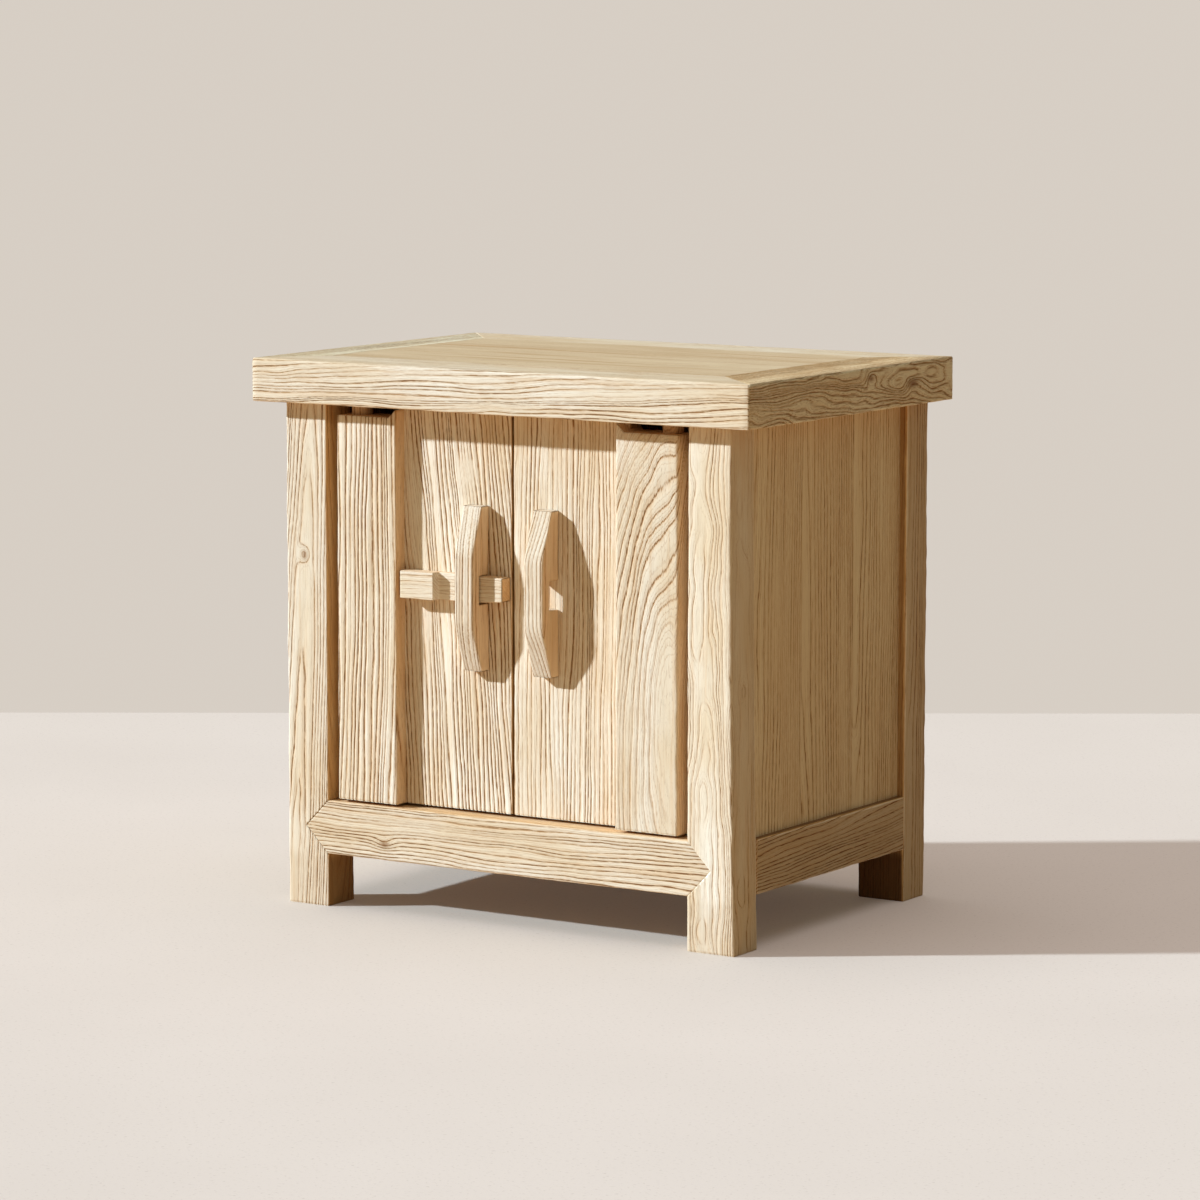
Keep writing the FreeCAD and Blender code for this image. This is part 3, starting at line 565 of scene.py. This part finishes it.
looks = {  # by material slot, or by slot and the axis of the grain
    "elm_top_boards": {
        "pale": tint(233, 206, 169), "warm": tint(219, 189, 150), "rust": tint(206, 167, 122),
        "hairs": 0.6, "relief": 0.2 * mm, "streak": (0.28, 0.013), "streaks": 0.9,
    },
    "elm_top_frame_y": {
        "pale": tint(252, 242, 216), "warm": tint(238, 217, 178),
        "width": 0.9, "bands": 0.6, "lines": 0.5, "hairs": 1.0, "pits": 0.8, "ragged": 0.8,
    },
    "elm_inside": {"pale": tint(220, 192, 152), "warm": tint(204, 172, 130), "lines": 0.7},
    # browner than the fronts, partly as painted warm shade on the shaded right side panel
    "elm_panels": {
        "pale": tint(234, 213, 177), "warm": tint(227, 201, 162), "rust": tint(210, 174, 127),
        "streaks": 0.25, "hairs": 0.9, "relief": 0.5 * mm,
    },
    "elm_stiles": {"pits": 0.6},
    "elm_pegs": {"pale": tint(228, 196, 148), "warm": tint(216, 182, 134)},
}
materials = {}


def timberFor(slot, grainAxis):
    key = f"{slot}_{'xyz'[grainAxis]}"
    if key not in materials:
        materials[key] = timber(key, grainAxis, looks.get(key) or looks.get(slot, {}))
    return materials[key]


jointArris = 0.3 * mm  # where a piece meets the next one


def plank(node, low, high, grainAxis, faceAxis, face, grain, seed, arris=3 * mm, tight=(), shape=None,
          carve=None, fine=0.95 * mm, long=8 * mm, endRadius=1.0 * mm, edge=3 * mm,
          rawAndShade=(0.3, 0.3, 0.6, 0.5, 0), dimUnder=0):
    # a brushed piece in place of a node; face is -1 or 1, the way that its best side looks
    # arris can be one for the low side and one for the high side
    # shape moves an array of places, carve cuts the bmesh before that
    # the orange amounts say how orange the wood is on the low side, the high side, the back, cut places and the
    # face, partly as painted warm shade; over 1 is darker too, as painted shade in recesses and seams,
    # and below 0 duller instead, which on the right-facing sides is painted shade
    across = 3 - grainAxis - faceAxis
    axes = (grainAxis, across, faceAxis)
    steps = [long if axis == grainAxis else fine for axis in range(3)]
    bm = gridBlock(low, high, steps, edge)
    if carve:
        carve(bm)
    mesh = bpy.data.meshes.new(node + "_timber")
    bm.to_mesh(mesh)
    bm.free()
    corners = []
    sizes = arris if isinstance(arris, tuple) else (arris, arris)
    for corner in range(4):
        sides = ((across, 1 if corner & 1 else -1), (faceAxis, 1 if corner & 2 else -1))
        corners.append(jointArris if set(sides) & set(tight) else sizes[corner & 1])
    weather(mesh, low, high, axes, face, corners, grain, seed, tight, shape, endRadius, rawAndShade, dimUnder)
    finishPiece(mesh, node, timberFor(slotOf[node], grainAxis))


# Top slab: a mitred frame round three boards

left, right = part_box("top_left_rail"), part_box("top_right_rail")
front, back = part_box("top_front_rail"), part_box("top_back_rail")
slabLow, slabHigh = Vector(front[0]), Vector((front[1].x, back[1].y, front[1].z))
fieldLow, fieldHigh = (left[1].x, front[1].y), (right[0].x, back[0].y)
slab = {"corner": 3.6 * mm, "arris": (1.6 * mm, 3.2 * mm), "rows": 6 * mm, "mitreRadius": 0.35 * mm}


def roundCorners(places):
    # turns the slab's upright corners into quarter rounds
    middle = np.array((slabLow + slabHigh) / 2)[:2]
    straight = np.array(slabHigh - slabLow)[:2] / 2 - slab["corner"]
    off = places[:, :2] - middle
    past = np.clip(abs(off) - straight, 0, None)
    share = past.max(axis=1) / np.maximum(np.hypot(past[:, 0], past[:, 1]), 1e-9)
    drawn = np.sign(off) * (straight + past * share[:, None])
    inCorner = (past.min(axis=1) > 0)[:, None]
    return np.column_stack([np.where(inCorner, drawn + middle, places[:, :2]), places[:, 2]])


def mitred(acrossAxis, outerEdge, innerEdge):
    # slides a rail's ends so that they meet the next rails along the corners' lines
    alongAxis = 1 - acrossAxis
    outer = (slabLow[alongAxis], slabHigh[alongAxis])
    inner = (fieldLow[alongAxis], fieldHigh[alongAxis])

    def shape(places):
        share = (places[:, acrossAxis] - outerEdge) / (innerEdge - outerEdge)
        low = outer[0] + (inner[0] - outer[0]) * share
        high = outer[1] + (inner[1] - outer[1]) * share
        run = (places[:, alongAxis] - outer[0]) / (outer[1] - outer[0])
        moved = places.copy()
        moved[:, alongAxis] = low + (high - low) * run
        return roundCorners(moved)

    return shape


topRails = {
    "top_front_rail": {
        "axis": 0, "inner": 1, "seed": 11, "face": -0.05,
        "grain": {"spacing": 3.8 * mm, "pith": (0.06, 0.04), "lean": (0.03, 0.02), "wander": 1.9,
                  "open": 0.85, "uneven": 0.9},
    },
    "top_back_rail": {
        "axis": 0, "inner": -1, "seed": 12, "face": -0.2,
        "grain": {"pith": (-0.05, 0.05), "lean": (-0.03, 0.02)},
    },
    "top_left_rail": {
        "axis": 1, "inner": 1, "seed": 13, "face": -0.1, "top": 0.1,
        "grain": {"pith": (0.05, 0.05), "lean": (0.05, 0.03), "wander": 1.2},
    },
    # its end face, on the shaded side, is dulled as painted shade
    "top_right_rail": {
        "axis": 1, "inner": -1, "seed": 14, "face": -0.3, "top": 0.6, "rows": 2.4 * mm,
        "grain": {
            "spacing": 2.8 * mm, "pith": (0.020, 0.024), "lean": (-0.07, 0.03), "wander": 2.9,
            "curl": 1.2, "open": 0.9, "swells": ((-0.06, 0.004, 0.05, 0.012, 2.0),),
            "knots": ((0.130, 0.000, 0.026, 0.011, 2.8), (0.035, 0.012, 0.014, 0.008, 1.6)),
        },
    },
}


def makeTopRail(node, entry):
    low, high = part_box(node)
    acrossAxis = 1 - entry["axis"]
    inner = entry["inner"]
    innerEdge = high[acrossAxis] if inner > 0 else low[acrossAxis]
    outerEdge = low[acrossAxis] if inner > 0 else high[acrossAxis]
    shape = mitred(acrossAxis, outerEdge, innerEdge)
    rawAndShade = (0.5, entry.get("top", 0.35), 0.5, 0.5, entry["face"])
    plank(node, low, high, entry["axis"], acrossAxis, -inner, entry["grain"], entry["seed"],
          arris=slab["arris"], tight=((acrossAxis, inner),), shape=shape,
          long=entry.get("rows", slab["rows"]), endRadius=slab["mitreRadius"], rawAndShade=rawAndShade)


for node, entry in topRails.items():
    makeTopRail(node, entry)

topBoards = {
    "top_board_1": {"seed": 21, "pith": (0.03, 0.12), "lean": (0.02, 0.05)},
    "top_board_2": {"seed": 22, "pith": (-0.02, 0.06), "lean": (-0.03, 0.06)},
    "top_board_3": {"seed": 23, "pith": (0.07, 0.10), "lean": (0.01, -0.04)},
}
topBoardGrain = {"spacing": 2.6 * mm, "groove": 0.1 * mm, "hollow": 0.25 * mm, "open": 0.3}
flush = {"arris": 0.5 * mm, "endRadius": 0.3 * mm}  # boards that lie edge to edge
for node, entry in topBoards.items():
    low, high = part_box(node)
    low = Vector((fieldLow[0], max(low.y, fieldLow[1]), low.z))
    high = Vector((fieldHigh[0], min(high.y, fieldHigh[1]), high.z))
    grain = topBoardGrain | {"pith": entry["pith"], "lean": entry["lean"]}
    plank(node, low, high, 0, 2, 1, grain, entry["seed"], tight=((1, -1), (1, 1)), long=9 * mm, **flush)
print("top slab made")

# Posts, with a seat for each end of the front rail

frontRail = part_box("bottom_rail_front")
post = {"arris": 3.0 * mm, "rows": 4.2 * mm}
# orange amounts: painted shade on inner, back and groove sides, and duller right-hand outer sides as painted shade
posts = {
    "post_front_left": {
        "seed": 31, "side": 1, "rawAndShade": (0.2, 1.08, 0.9, 0.5, -0.1), "arris": (3.0 * mm, 1.5 * mm),
        "grain": {
            "spacing": 3.4 * mm, "pith": (-0.006, 0.018), "lean": (0.05, 0.010), "wander": 1.1,
            "open": 0.9, "groove": 0.4 * mm, "knots": ((0.113, -0.003, 0.010, 0.007, 1.9),),
        },
    },
    "post_front_right": {
        "seed": 32, "side": -1, "rawAndShade": (0.5, -0.33, 0.9, 0.5, 0), "taper": 6.3 * mm,
        "arris": (1.7 * mm, 3.0 * mm),
        "grain": {
            "spacing": 2.5 * mm, "pith": (-0.010, 0.022), "lean": (-0.02, 0.012), "wander": 1.5,
            "curl": 0.9, "groove": 0.55 * mm, "swells": ((0.05, -0.004, 0.05, 0.010, 1.0),),
        },
    },
    "post_back_left": {
        "seed": 33, "rawAndShade": (0.2, 0.9, 1.2, 0.5, -0.2),
        "grain": {"pith": (0.02, 0.06), "lean": (0.01, 0.02)},
    },
    "post_back_right": {
        "seed": 34, "rawAndShade": (0.9, -0.58, 1.4, 0.5, -0.2),
        "grain": {"pith": (-0.02, 0.05), "lean": (0.02, 0.02), "wander": 1.6, "open": 0.8,
                  "knots": ((0.02, 0.0, 0.014, 0.008, 1.5),)},
    },
}
point = {"thickness": 12.2 * mm, "clearance": 0.25 * mm, "search": 20 * mm}


def seatFor(low, high, side):
    # cuts the pointed seat into the post's front face; side says which way the rail lies
    mouth = high.x if side > 0 else low.x
    tip = frontRail[0].x if side > 0 else frontRail[1].x
    bottom, top = frontRail[0].z, frontRail[1].z
    middle = (bottom + top) / 2
    grown = point["clearance"]

    def isNear(face):
        # on the post's front, about as high as the rail
        centre = face.calc_center_median()
        onFront = abs(face.normal.y + 1) < 0.01 and centre.y < low.y + mm
        return onFront and bottom - point["search"] < centre.z < top + point["search"]

    def carve(bm):
        for end in (bottom - grown, top + grown):
            normal = Vector((middle - end, 0, -(tip - mouth))) * (1 if end < middle else -1)
            nearby = [f for f in bm.faces if isNear(f)]
            verts = {v for f in nearby for v in f.verts}
            edges = {e for f in nearby for e in f.edges}
            bmesh.ops.bisect_plane(bm, geom=list(verts) + list(edges) + nearby,
                                   plane_co=(mouth, low.y, end), plane_no=normal, dist=tiny)
        inside = []
        for face in bm.faces:
            centre = face.calc_center_median()
            if centre.y > low.y + 10 * tiny:
                continue
            share = abs(centre.x - mouth) / abs(tip - mouth)
            half = ((top - bottom) / 2 + grown) * (1 - share)
            if abs(centre.z - middle) < half:
                inside.append(face)
        made = bmesh.ops.extrude_face_region(bm, geom=inside)
        moved = [part for part in made["geom"] if isinstance(part, bmesh.types.BMVert)]
        bmesh.ops.translate(bm, vec=(0, point["thickness"], 0), verts=moved)
        bmesh.ops.delete(bm, geom=inside, context="FACES_ONLY")

    return carve


def narrowed(low, high, taper):
    # leaves the outer side of an old post worn back towards its top
    def shape(places):
        rise = 1 - (1 - places[:, 2] / high.z) ** 2
        moved = places.copy()
        moved[:, 0] -= taper * rise * (places[:, 0] - low.x) / (high.x - low.x)
        return moved

    return shape


for node, entry in posts.items():
    low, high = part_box(node)
    high.z = slabLow.z
    atFront = "front" in node
    carve = seatFor(low, high, entry["side"]) if atFront else None
    shape = narrowed(low, high, entry["taper"]) if "taper" in entry else None
    plank(node, low, high, 2, 1, -1 if atFront else 1, entry["grain"], entry["seed"],
          arris=entry.get("arris", post["arris"]), carve=carve, shape=shape, long=post["rows"],
          rawAndShade=entry["rawAndShade"], dimUnder=frontRail[0].z)
print("posts made")

# Bottom rails

bottomRails = {
    "bottom_rail_front": {
        "axis": 0, "face": -1, "seed": 41, "rawAndShade": -0.06,
        "grain": {"spacing": 3.8 * mm, "pith": (-0.06, 0.04), "lean": (0.03, 0.03), "wander": 1.5,
                  "open": 0.85, "knots": ((-0.16, -0.012, 0.014, 0.008, 1.6),)},
    },
    "bottom_rail_back": {"axis": 0, "face": 1, "seed": 42, "grain": {"pith": (0.05, 0.04)}},
    "bottom_rail_left": {"axis": 1, "face": -1, "seed": 43, "grain": {"pith": (0.05, 0.05)}},
    # its top is darkened as painted shade under the side panel, and its face dulled as painted shade
    "bottom_rail_right": {
        "axis": 1, "face": 1, "seed": 44, "rawAndShade": -0.62, "top": 1.7,
        "grain": {"spacing": 3.0 * mm, "pith": (0.05, 0.05), "lean": (0.03, 0.03), "wander": 1.4,
                  "open": 0.9},
    },
}
rail = {"arris": 2.2 * mm, "rows": 5 * mm, "endRadius": 0.35 * mm}
innerFront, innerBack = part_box("post_front_left")[1].y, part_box("post_back_left")[0].y
openLeft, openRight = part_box("post_front_left")[1].x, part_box("post_front_right")[0].x


def pointed(places):
    # draws the front rail's ends out to points in its outer layer
    low, high = frontRail
    middle, half = (low.z + high.z) / 2, (high.z - low.z) / 2
    share = np.clip(1 - abs(places[:, 2] - middle) / half, 0, 1)
    share *= places[:, 1] < low.y + point["thickness"] - 0.1 * mm
    left = openLeft + (low.x - openLeft) * share
    right = openRight + (high.x - openRight) * share
    run = (places[:, 0] - openLeft) / (openRight - openLeft)
    moved = places.copy()
    moved[:, 0] = left + (right - left) * run
    return moved


for node, entry in bottomRails.items():
    low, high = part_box(node)
    if entry["axis"] == 0:
        low.x, high.x = openLeft, openRight
    else:
        low.y, high.y = innerFront, innerBack
    shape = pointed if node == "bottom_rail_front" else None
    rawAndShade = (0.4, entry.get("top", 0.75), 0.6, 0.5, entry.get("rawAndShade", 0))
    plank(node, low, high, entry["axis"], 1 - entry["axis"], entry["face"], entry["grain"], entry["seed"],
          arris=rail["arris"], shape=shape, long=rail["rows"], endRadius=rail["endRadius"], rawAndShade=rawAndShade)
print("bottom rails made")

# Panels, floor and battens

panels = {
    "side": {
        "count": 3,
        "grain": {"spacing": 4.2 * mm, "open": 0.75, "wander": 0.8, "groove": 0.25 * mm},
    },
    "back": {"count": 4, "grain": {"spacing": 2.3 * mm, "open": 0.5, "wander": 0.9}},
    "floor": {"count": 3, "grain": {"spacing": 2.6 * mm, "open": 0.4}},
}
seam = 0.2 * mm  # half the gap between two boards, closed so that no light comes through
batten = {"arris": 1.5 * mm, "fine": 1.4 * mm}


def makeBoards(prefix, entry, grainAxis, faceAxis, face, seed):
    # each board gets a pith of its own
    across = 3 - grainAxis - faceAxis
    for number in range(1, entry["count"] + 1):
        node = f"{prefix}_board_{number}"
        low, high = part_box(node)
        low[across] -= seam if number > 1 else 0
        high[across] += seam if number < entry["count"] else 0
        chance = np.random.default_rng(seed + number)
        pith = (chance.choice((-0.07, 0.07)) + chance.uniform(-0.02, 0.02), chance.uniform(0.03, 0.07))
        lean = (chance.uniform(-0.02, 0.02), chance.uniform(-0.02, 0.02))
        plank(node, low, high, grainAxis, faceAxis, face, entry["grain"] | {"pith": pith, "lean": lean},
              seed + number, tight=((across, -1), (across, 1)), **flush)


makeBoards("left_panel", panels["side"], 2, 0, -1, 50)
makeBoards("right_panel", panels["side"], 2, 0, 1, 60)
makeBoards("back_panel", panels["back"], 2, 1, 1, 70)
makeBoards("floor", panels["floor"], 0, 2, 1, 80)
for number, node in enumerate(("top_batten_left", "top_batten_right")):
    low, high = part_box(node)
    plank(node, low, high, 1, 2, -1, {"pith": (0.02, 0.07)}, 90 + number, **batten)
print("panels, floor and battens made")

# Doors

# the stiles' sides are more orange, partly as painted warm shade
doors = {
    "left": {
        "inboard": 1, "arris": 1.7 * mm, "rawAndShade": (0.45, 0.6, 0.6, 0.6, 0), "seed": 101,
        "stile": {"spacing": 5.4 * mm, "pith": (-0.16, 0.05), "lean": (0.01, 0.0), "wander": 1.0,
                  "uneven": 0.75, "open": 1.1, "groove": 0.6 * mm},
        "board": {"spacing": 5.0 * mm, "pith": (-0.11, 0.03), "lean": (-0.07, 0.02), "wander": 1.3,
                  "uneven": 0.7, "open": 1.4, "groove": 0.6 * mm,
                  "smooth": ((0.155, 0.015, 0.016, 0.014, 0.1),)},
    },
    "right": {
        "inboard": -1, "arris": (1.7 * mm, 4.2 * mm), "rawAndShade": (0.45, 0.45, 0.6, 0.6, -0.12), "seed": 103,
        "stile": {"spacing": 5.0 * mm, "pith": (0.050, 0.10), "lean": (0.0, 0.13), "bend": 0.42,
                  "wander": 1.3, "uneven": 1.0, "open": 0.9, "groove": 0.6 * mm,
                  "smooth": ((-0.15, 0.0, 0.18, 0.08, 0.4), (0.20, -0.025, 0.04, 0.022, 0.3))},
        "board": {"spacing": 4.4 * mm, "pith": (-0.14, 0.08), "lean": (0.01, 0.0), "wander": 1.2,
                  "uneven": 0.75, "open": 0.7, "groove": 0.45 * mm},
    },
}
doorRows = 0.9 * mm
# the boards' long edges are darkened as painted shade in the seams
doorBoard = {"arris": 1.2 * mm, "long": 3.8 * mm, "rawAndShade": (1.5, 1.5, 0.6, 0.5, 0)}
stile = {"rise": 10 * mm, "soft": 18 * mm, "long": 4.5 * mm}
pintle = {"radius": 11.5 * mm, "turns": 40, "sunk": 5 * mm}


def makeStile(side, entry):
    node = f"{side}_door_stile"
    low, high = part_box(node)
    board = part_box(f"{side}_door_board")
    foot, head = low.z, high.z
    low.z, high.z = board[0].z, board[1].z - stile["rise"]
    inboard = high.x if entry["inboard"] > 0 else low.x

    def shape(places):
        # the head slopes up to the board's full height at the inboard corner
        rise = np.clip(stile["rise"] - abs(places[:, 0] - inboard), 0, stile["rise"])
        share = np.clip((places[:, 2] - high.z + stile["soft"]) / stile["soft"], 0, 1)
        moved = places.copy()
        moved[:, 2] += rise * share
        return moved

    def carve(bm):
        # turned pintles at both ends
        hinge = next(j for j in frame["joints"] if j["name"] == f"{side}_door_hinge")
        x, y = hinge["pos_m"][:2]
        radius = pintle["radius"]
        for start, end in ((foot, low.z + pintle["sunk"]), (high.z - pintle["sunk"], head)):
            made = bmesh.ops.create_cone(bm, cap_ends=True, segments=pintle["turns"], radius1=radius,
                                         radius2=radius, depth=end - start)
            bmesh.ops.translate(bm, vec=(x, y, (start + end) / 2), verts=made["verts"])

    plank(node, low, high, 2, 1, -1, entry["stile"], entry["seed"], arris=entry["arris"],
          shape=shape, carve=carve, fine=doorRows, long=stile["long"], rawAndShade=entry["rawAndShade"])


def makeDoor(side, entry):
    makeStile(side, entry)
    node = f"{side}_door_board"
    low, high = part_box(node)
    plank(node, low, high, 2, 1, -1, entry["board"], entry["seed"] + 1, fine=doorRows, **doorBoard)
    for number, level in enumerate(("lower", "upper")):
        node = f"{side}_door_batten_{level}"
        low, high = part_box(node)
        plank(node, low, high, 0, 1, 1, {"pith": (0.02, 0.08)}, entry["seed"] + 10 + number, **batten)


for side, entry in doors.items():
    makeDoor(side, entry)
print("doors made")

# Handles and the latch bar

# the handles' right sides are more orange, partly as painted warm shade; their fronts a little duller
handle = {
    "depth": 33 * mm, "flat": 80 * mm, "endDepth": 14.5 * mm, "soft": 9 * mm, "endRadius": 1.8 * mm,
    "arris": 2.5 * mm, "fine": 0.95 * mm, "edge": 2 * mm, "rawAndShade": (0.3, 0.6, 0.5, 0.1, -0.12),
    "grain": {"spacing": 4.2 * mm, "wander": 1.2, "open": 0.6, "groove": 0.35 * mm},
}
slot = {"bottom": 357.7 * mm, "top": 390.3 * mm, "depth": 20 * mm}
handles = {
    "left_handle": {"seed": 201, "pith": (0.06, 0.03)},
    "right_handle": {"seed": 202, "pith": (-0.07, 0.04)},
}
bar = {
    "tail": -96.5 * mm, "head": -48.7 * mm, "waist": -189.3 * mm,  # shoulders, and the waist's front
    "step": 0.4 * mm, "leadIn": 58 * mm, "rise": 4 * mm, "arris": 1.2 * mm, "edge": 1.5 * mm,
    "rawAndShade": (0.5, 0.5, 0.6, 0.8, 0), "seed": 210,
    "grain": {"spacing": 3.4 * mm, "pith": (0.05, 0.05), "wander": 1.6, "open": 0.4,
              "groove": 0.25 * mm},
}
fittingRows = 3 * mm


def cutAt(bm, axis, place):
    # a new row of edges across the whole piece
    normal = Vector((0, 0, 0))
    normal[axis] = 1
    whole = bm.verts[:] + bm.edges[:] + bm.faces[:]
    bmesh.ops.bisect_plane(bm, geom=whole, plane_co=normal * place, plane_no=normal, dist=tiny)


def makeHandle(node, entry):
    low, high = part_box(node)
    low.y = max(low.y, high.y - handle["depth"])
    middle = (low.z + high.z) / 2
    slotFront = high.y - slot["depth"]
    fine, edge = handle["fine"], handle["edge"]

    def shape(places):
        # the front slopes back to both ends
        beyond = abs(places[:, 2] - middle) - handle["flat"] / 2
        soft = handle["soft"]
        bent = np.where(beyond < soft, np.clip(beyond + soft, 0, None) ** 2 / (4 * soft), beyond)
        fall = (high.y - low.y - handle["endDepth"]) / (high.z - middle - handle["flat"] / 2)
        share = (high.y - places[:, 1]) / (high.y - low.y)
        moved = places.copy()
        moved[:, 1] += bent * fall * share
        return moved

    def carve(bm):
        # the slot that the bar slides through, open at the back
        cutAt(bm, 2, slot["bottom"])
        cutAt(bm, 2, slot["top"])
        cutAt(bm, 1, slotFront)
        gone = []
        for face in bm.faces:
            centre = face.calc_center_median()
            if centre.y > slotFront and slot["bottom"] < centre.z < slot["top"]:
                gone.append(face)
        bmesh.ops.delete(bm, geom=gone, context="FACES")
        rims = []
        for edgeLine in bm.edges:
            atSide = [min(abs(v.co.x - low.x), abs(v.co.x - high.x)) < tiny for v in edgeLine.verts]
            if edgeLine.is_boundary and all(atSide):
                rims.append(edgeLine)
        made = bmesh.ops.bridge_loops(bm, edges=rims)
        rows = rowsOf(high.x - low.x, fine, edge)
        spans = {e for f in made["faces"] for e in f.edges
                 if abs(e.verts[0].co.x - e.verts[1].co.x) > fine * 2}
        cut = bmesh.ops.subdivide_edges(bm, edges=list(spans), cuts=len(rows) - 2, use_grid_fill=True)
        for part in cut["geom_inner"]:
            if isinstance(part, bmesh.types.BMVert):
                row = round((part.co.x - low.x) / (high.x - low.x) * (len(rows) - 1))
                part.co.x = low.x + rows[row]
        bmesh.ops.remove_doubles(bm, verts=bm.verts, dist=tiny)
        bmesh.ops.recalc_face_normals(bm, faces=bm.faces)

    grain = handle["grain"] | {"pith": entry["pith"]}
    plank(node, low, high, 2, 1, -1, grain, entry["seed"], arris=handle["arris"], shape=shape,
          carve=carve, fine=fine, long=fittingRows, edge=edge, endRadius=handle["endRadius"],
          rawAndShade=handle["rawAndShade"])


def makeBar(node):
    low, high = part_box(node)

    def shape(places):
        # a thin waist between two shoulders, and an underside that rises to the head
        past = np.clip((places[:, 0] - bar["tail"]) / bar["step"], 0, 1)
        short = np.clip((bar["head"] - places[:, 0]) / bar["step"], 0, 1)
        share = (high.y - places[:, 1]) / (high.y - low.y)
        lift = np.clip(1 - (high.x - places[:, 0]) / bar["leadIn"], 0, 1)
        moved = places.copy()
        moved[:, 1] += (bar["waist"] - low.y) * share * past * short
        moved[:, 2] += bar["rise"] * lift * (high.z - places[:, 2]) / (high.z - low.z)
        return moved

    def carve(bm):
        for place in (bar["tail"], bar["tail"] + bar["step"], bar["head"] - bar["step"], bar["head"]):
            cutAt(bm, 0, place)

    plank(node, low, high, 0, 1, -1, bar["grain"], bar["seed"], arris=bar["arris"], shape=shape,
          carve=carve, long=fittingRows, edge=bar["edge"], rawAndShade=bar["rawAndShade"])


for node, entry in handles.items():
    makeHandle(node, entry)
makeBar("latch_bar")
for node in ("left_handle_pegs", "right_handle_pegs"):
    # the pegs stay the frame's own, with a finish of the same elm
    slots = frame["nodes"][node].data.materials
    slots.clear()
    slots.append(timberFor("elm_pegs", 1))
print("fittings made")
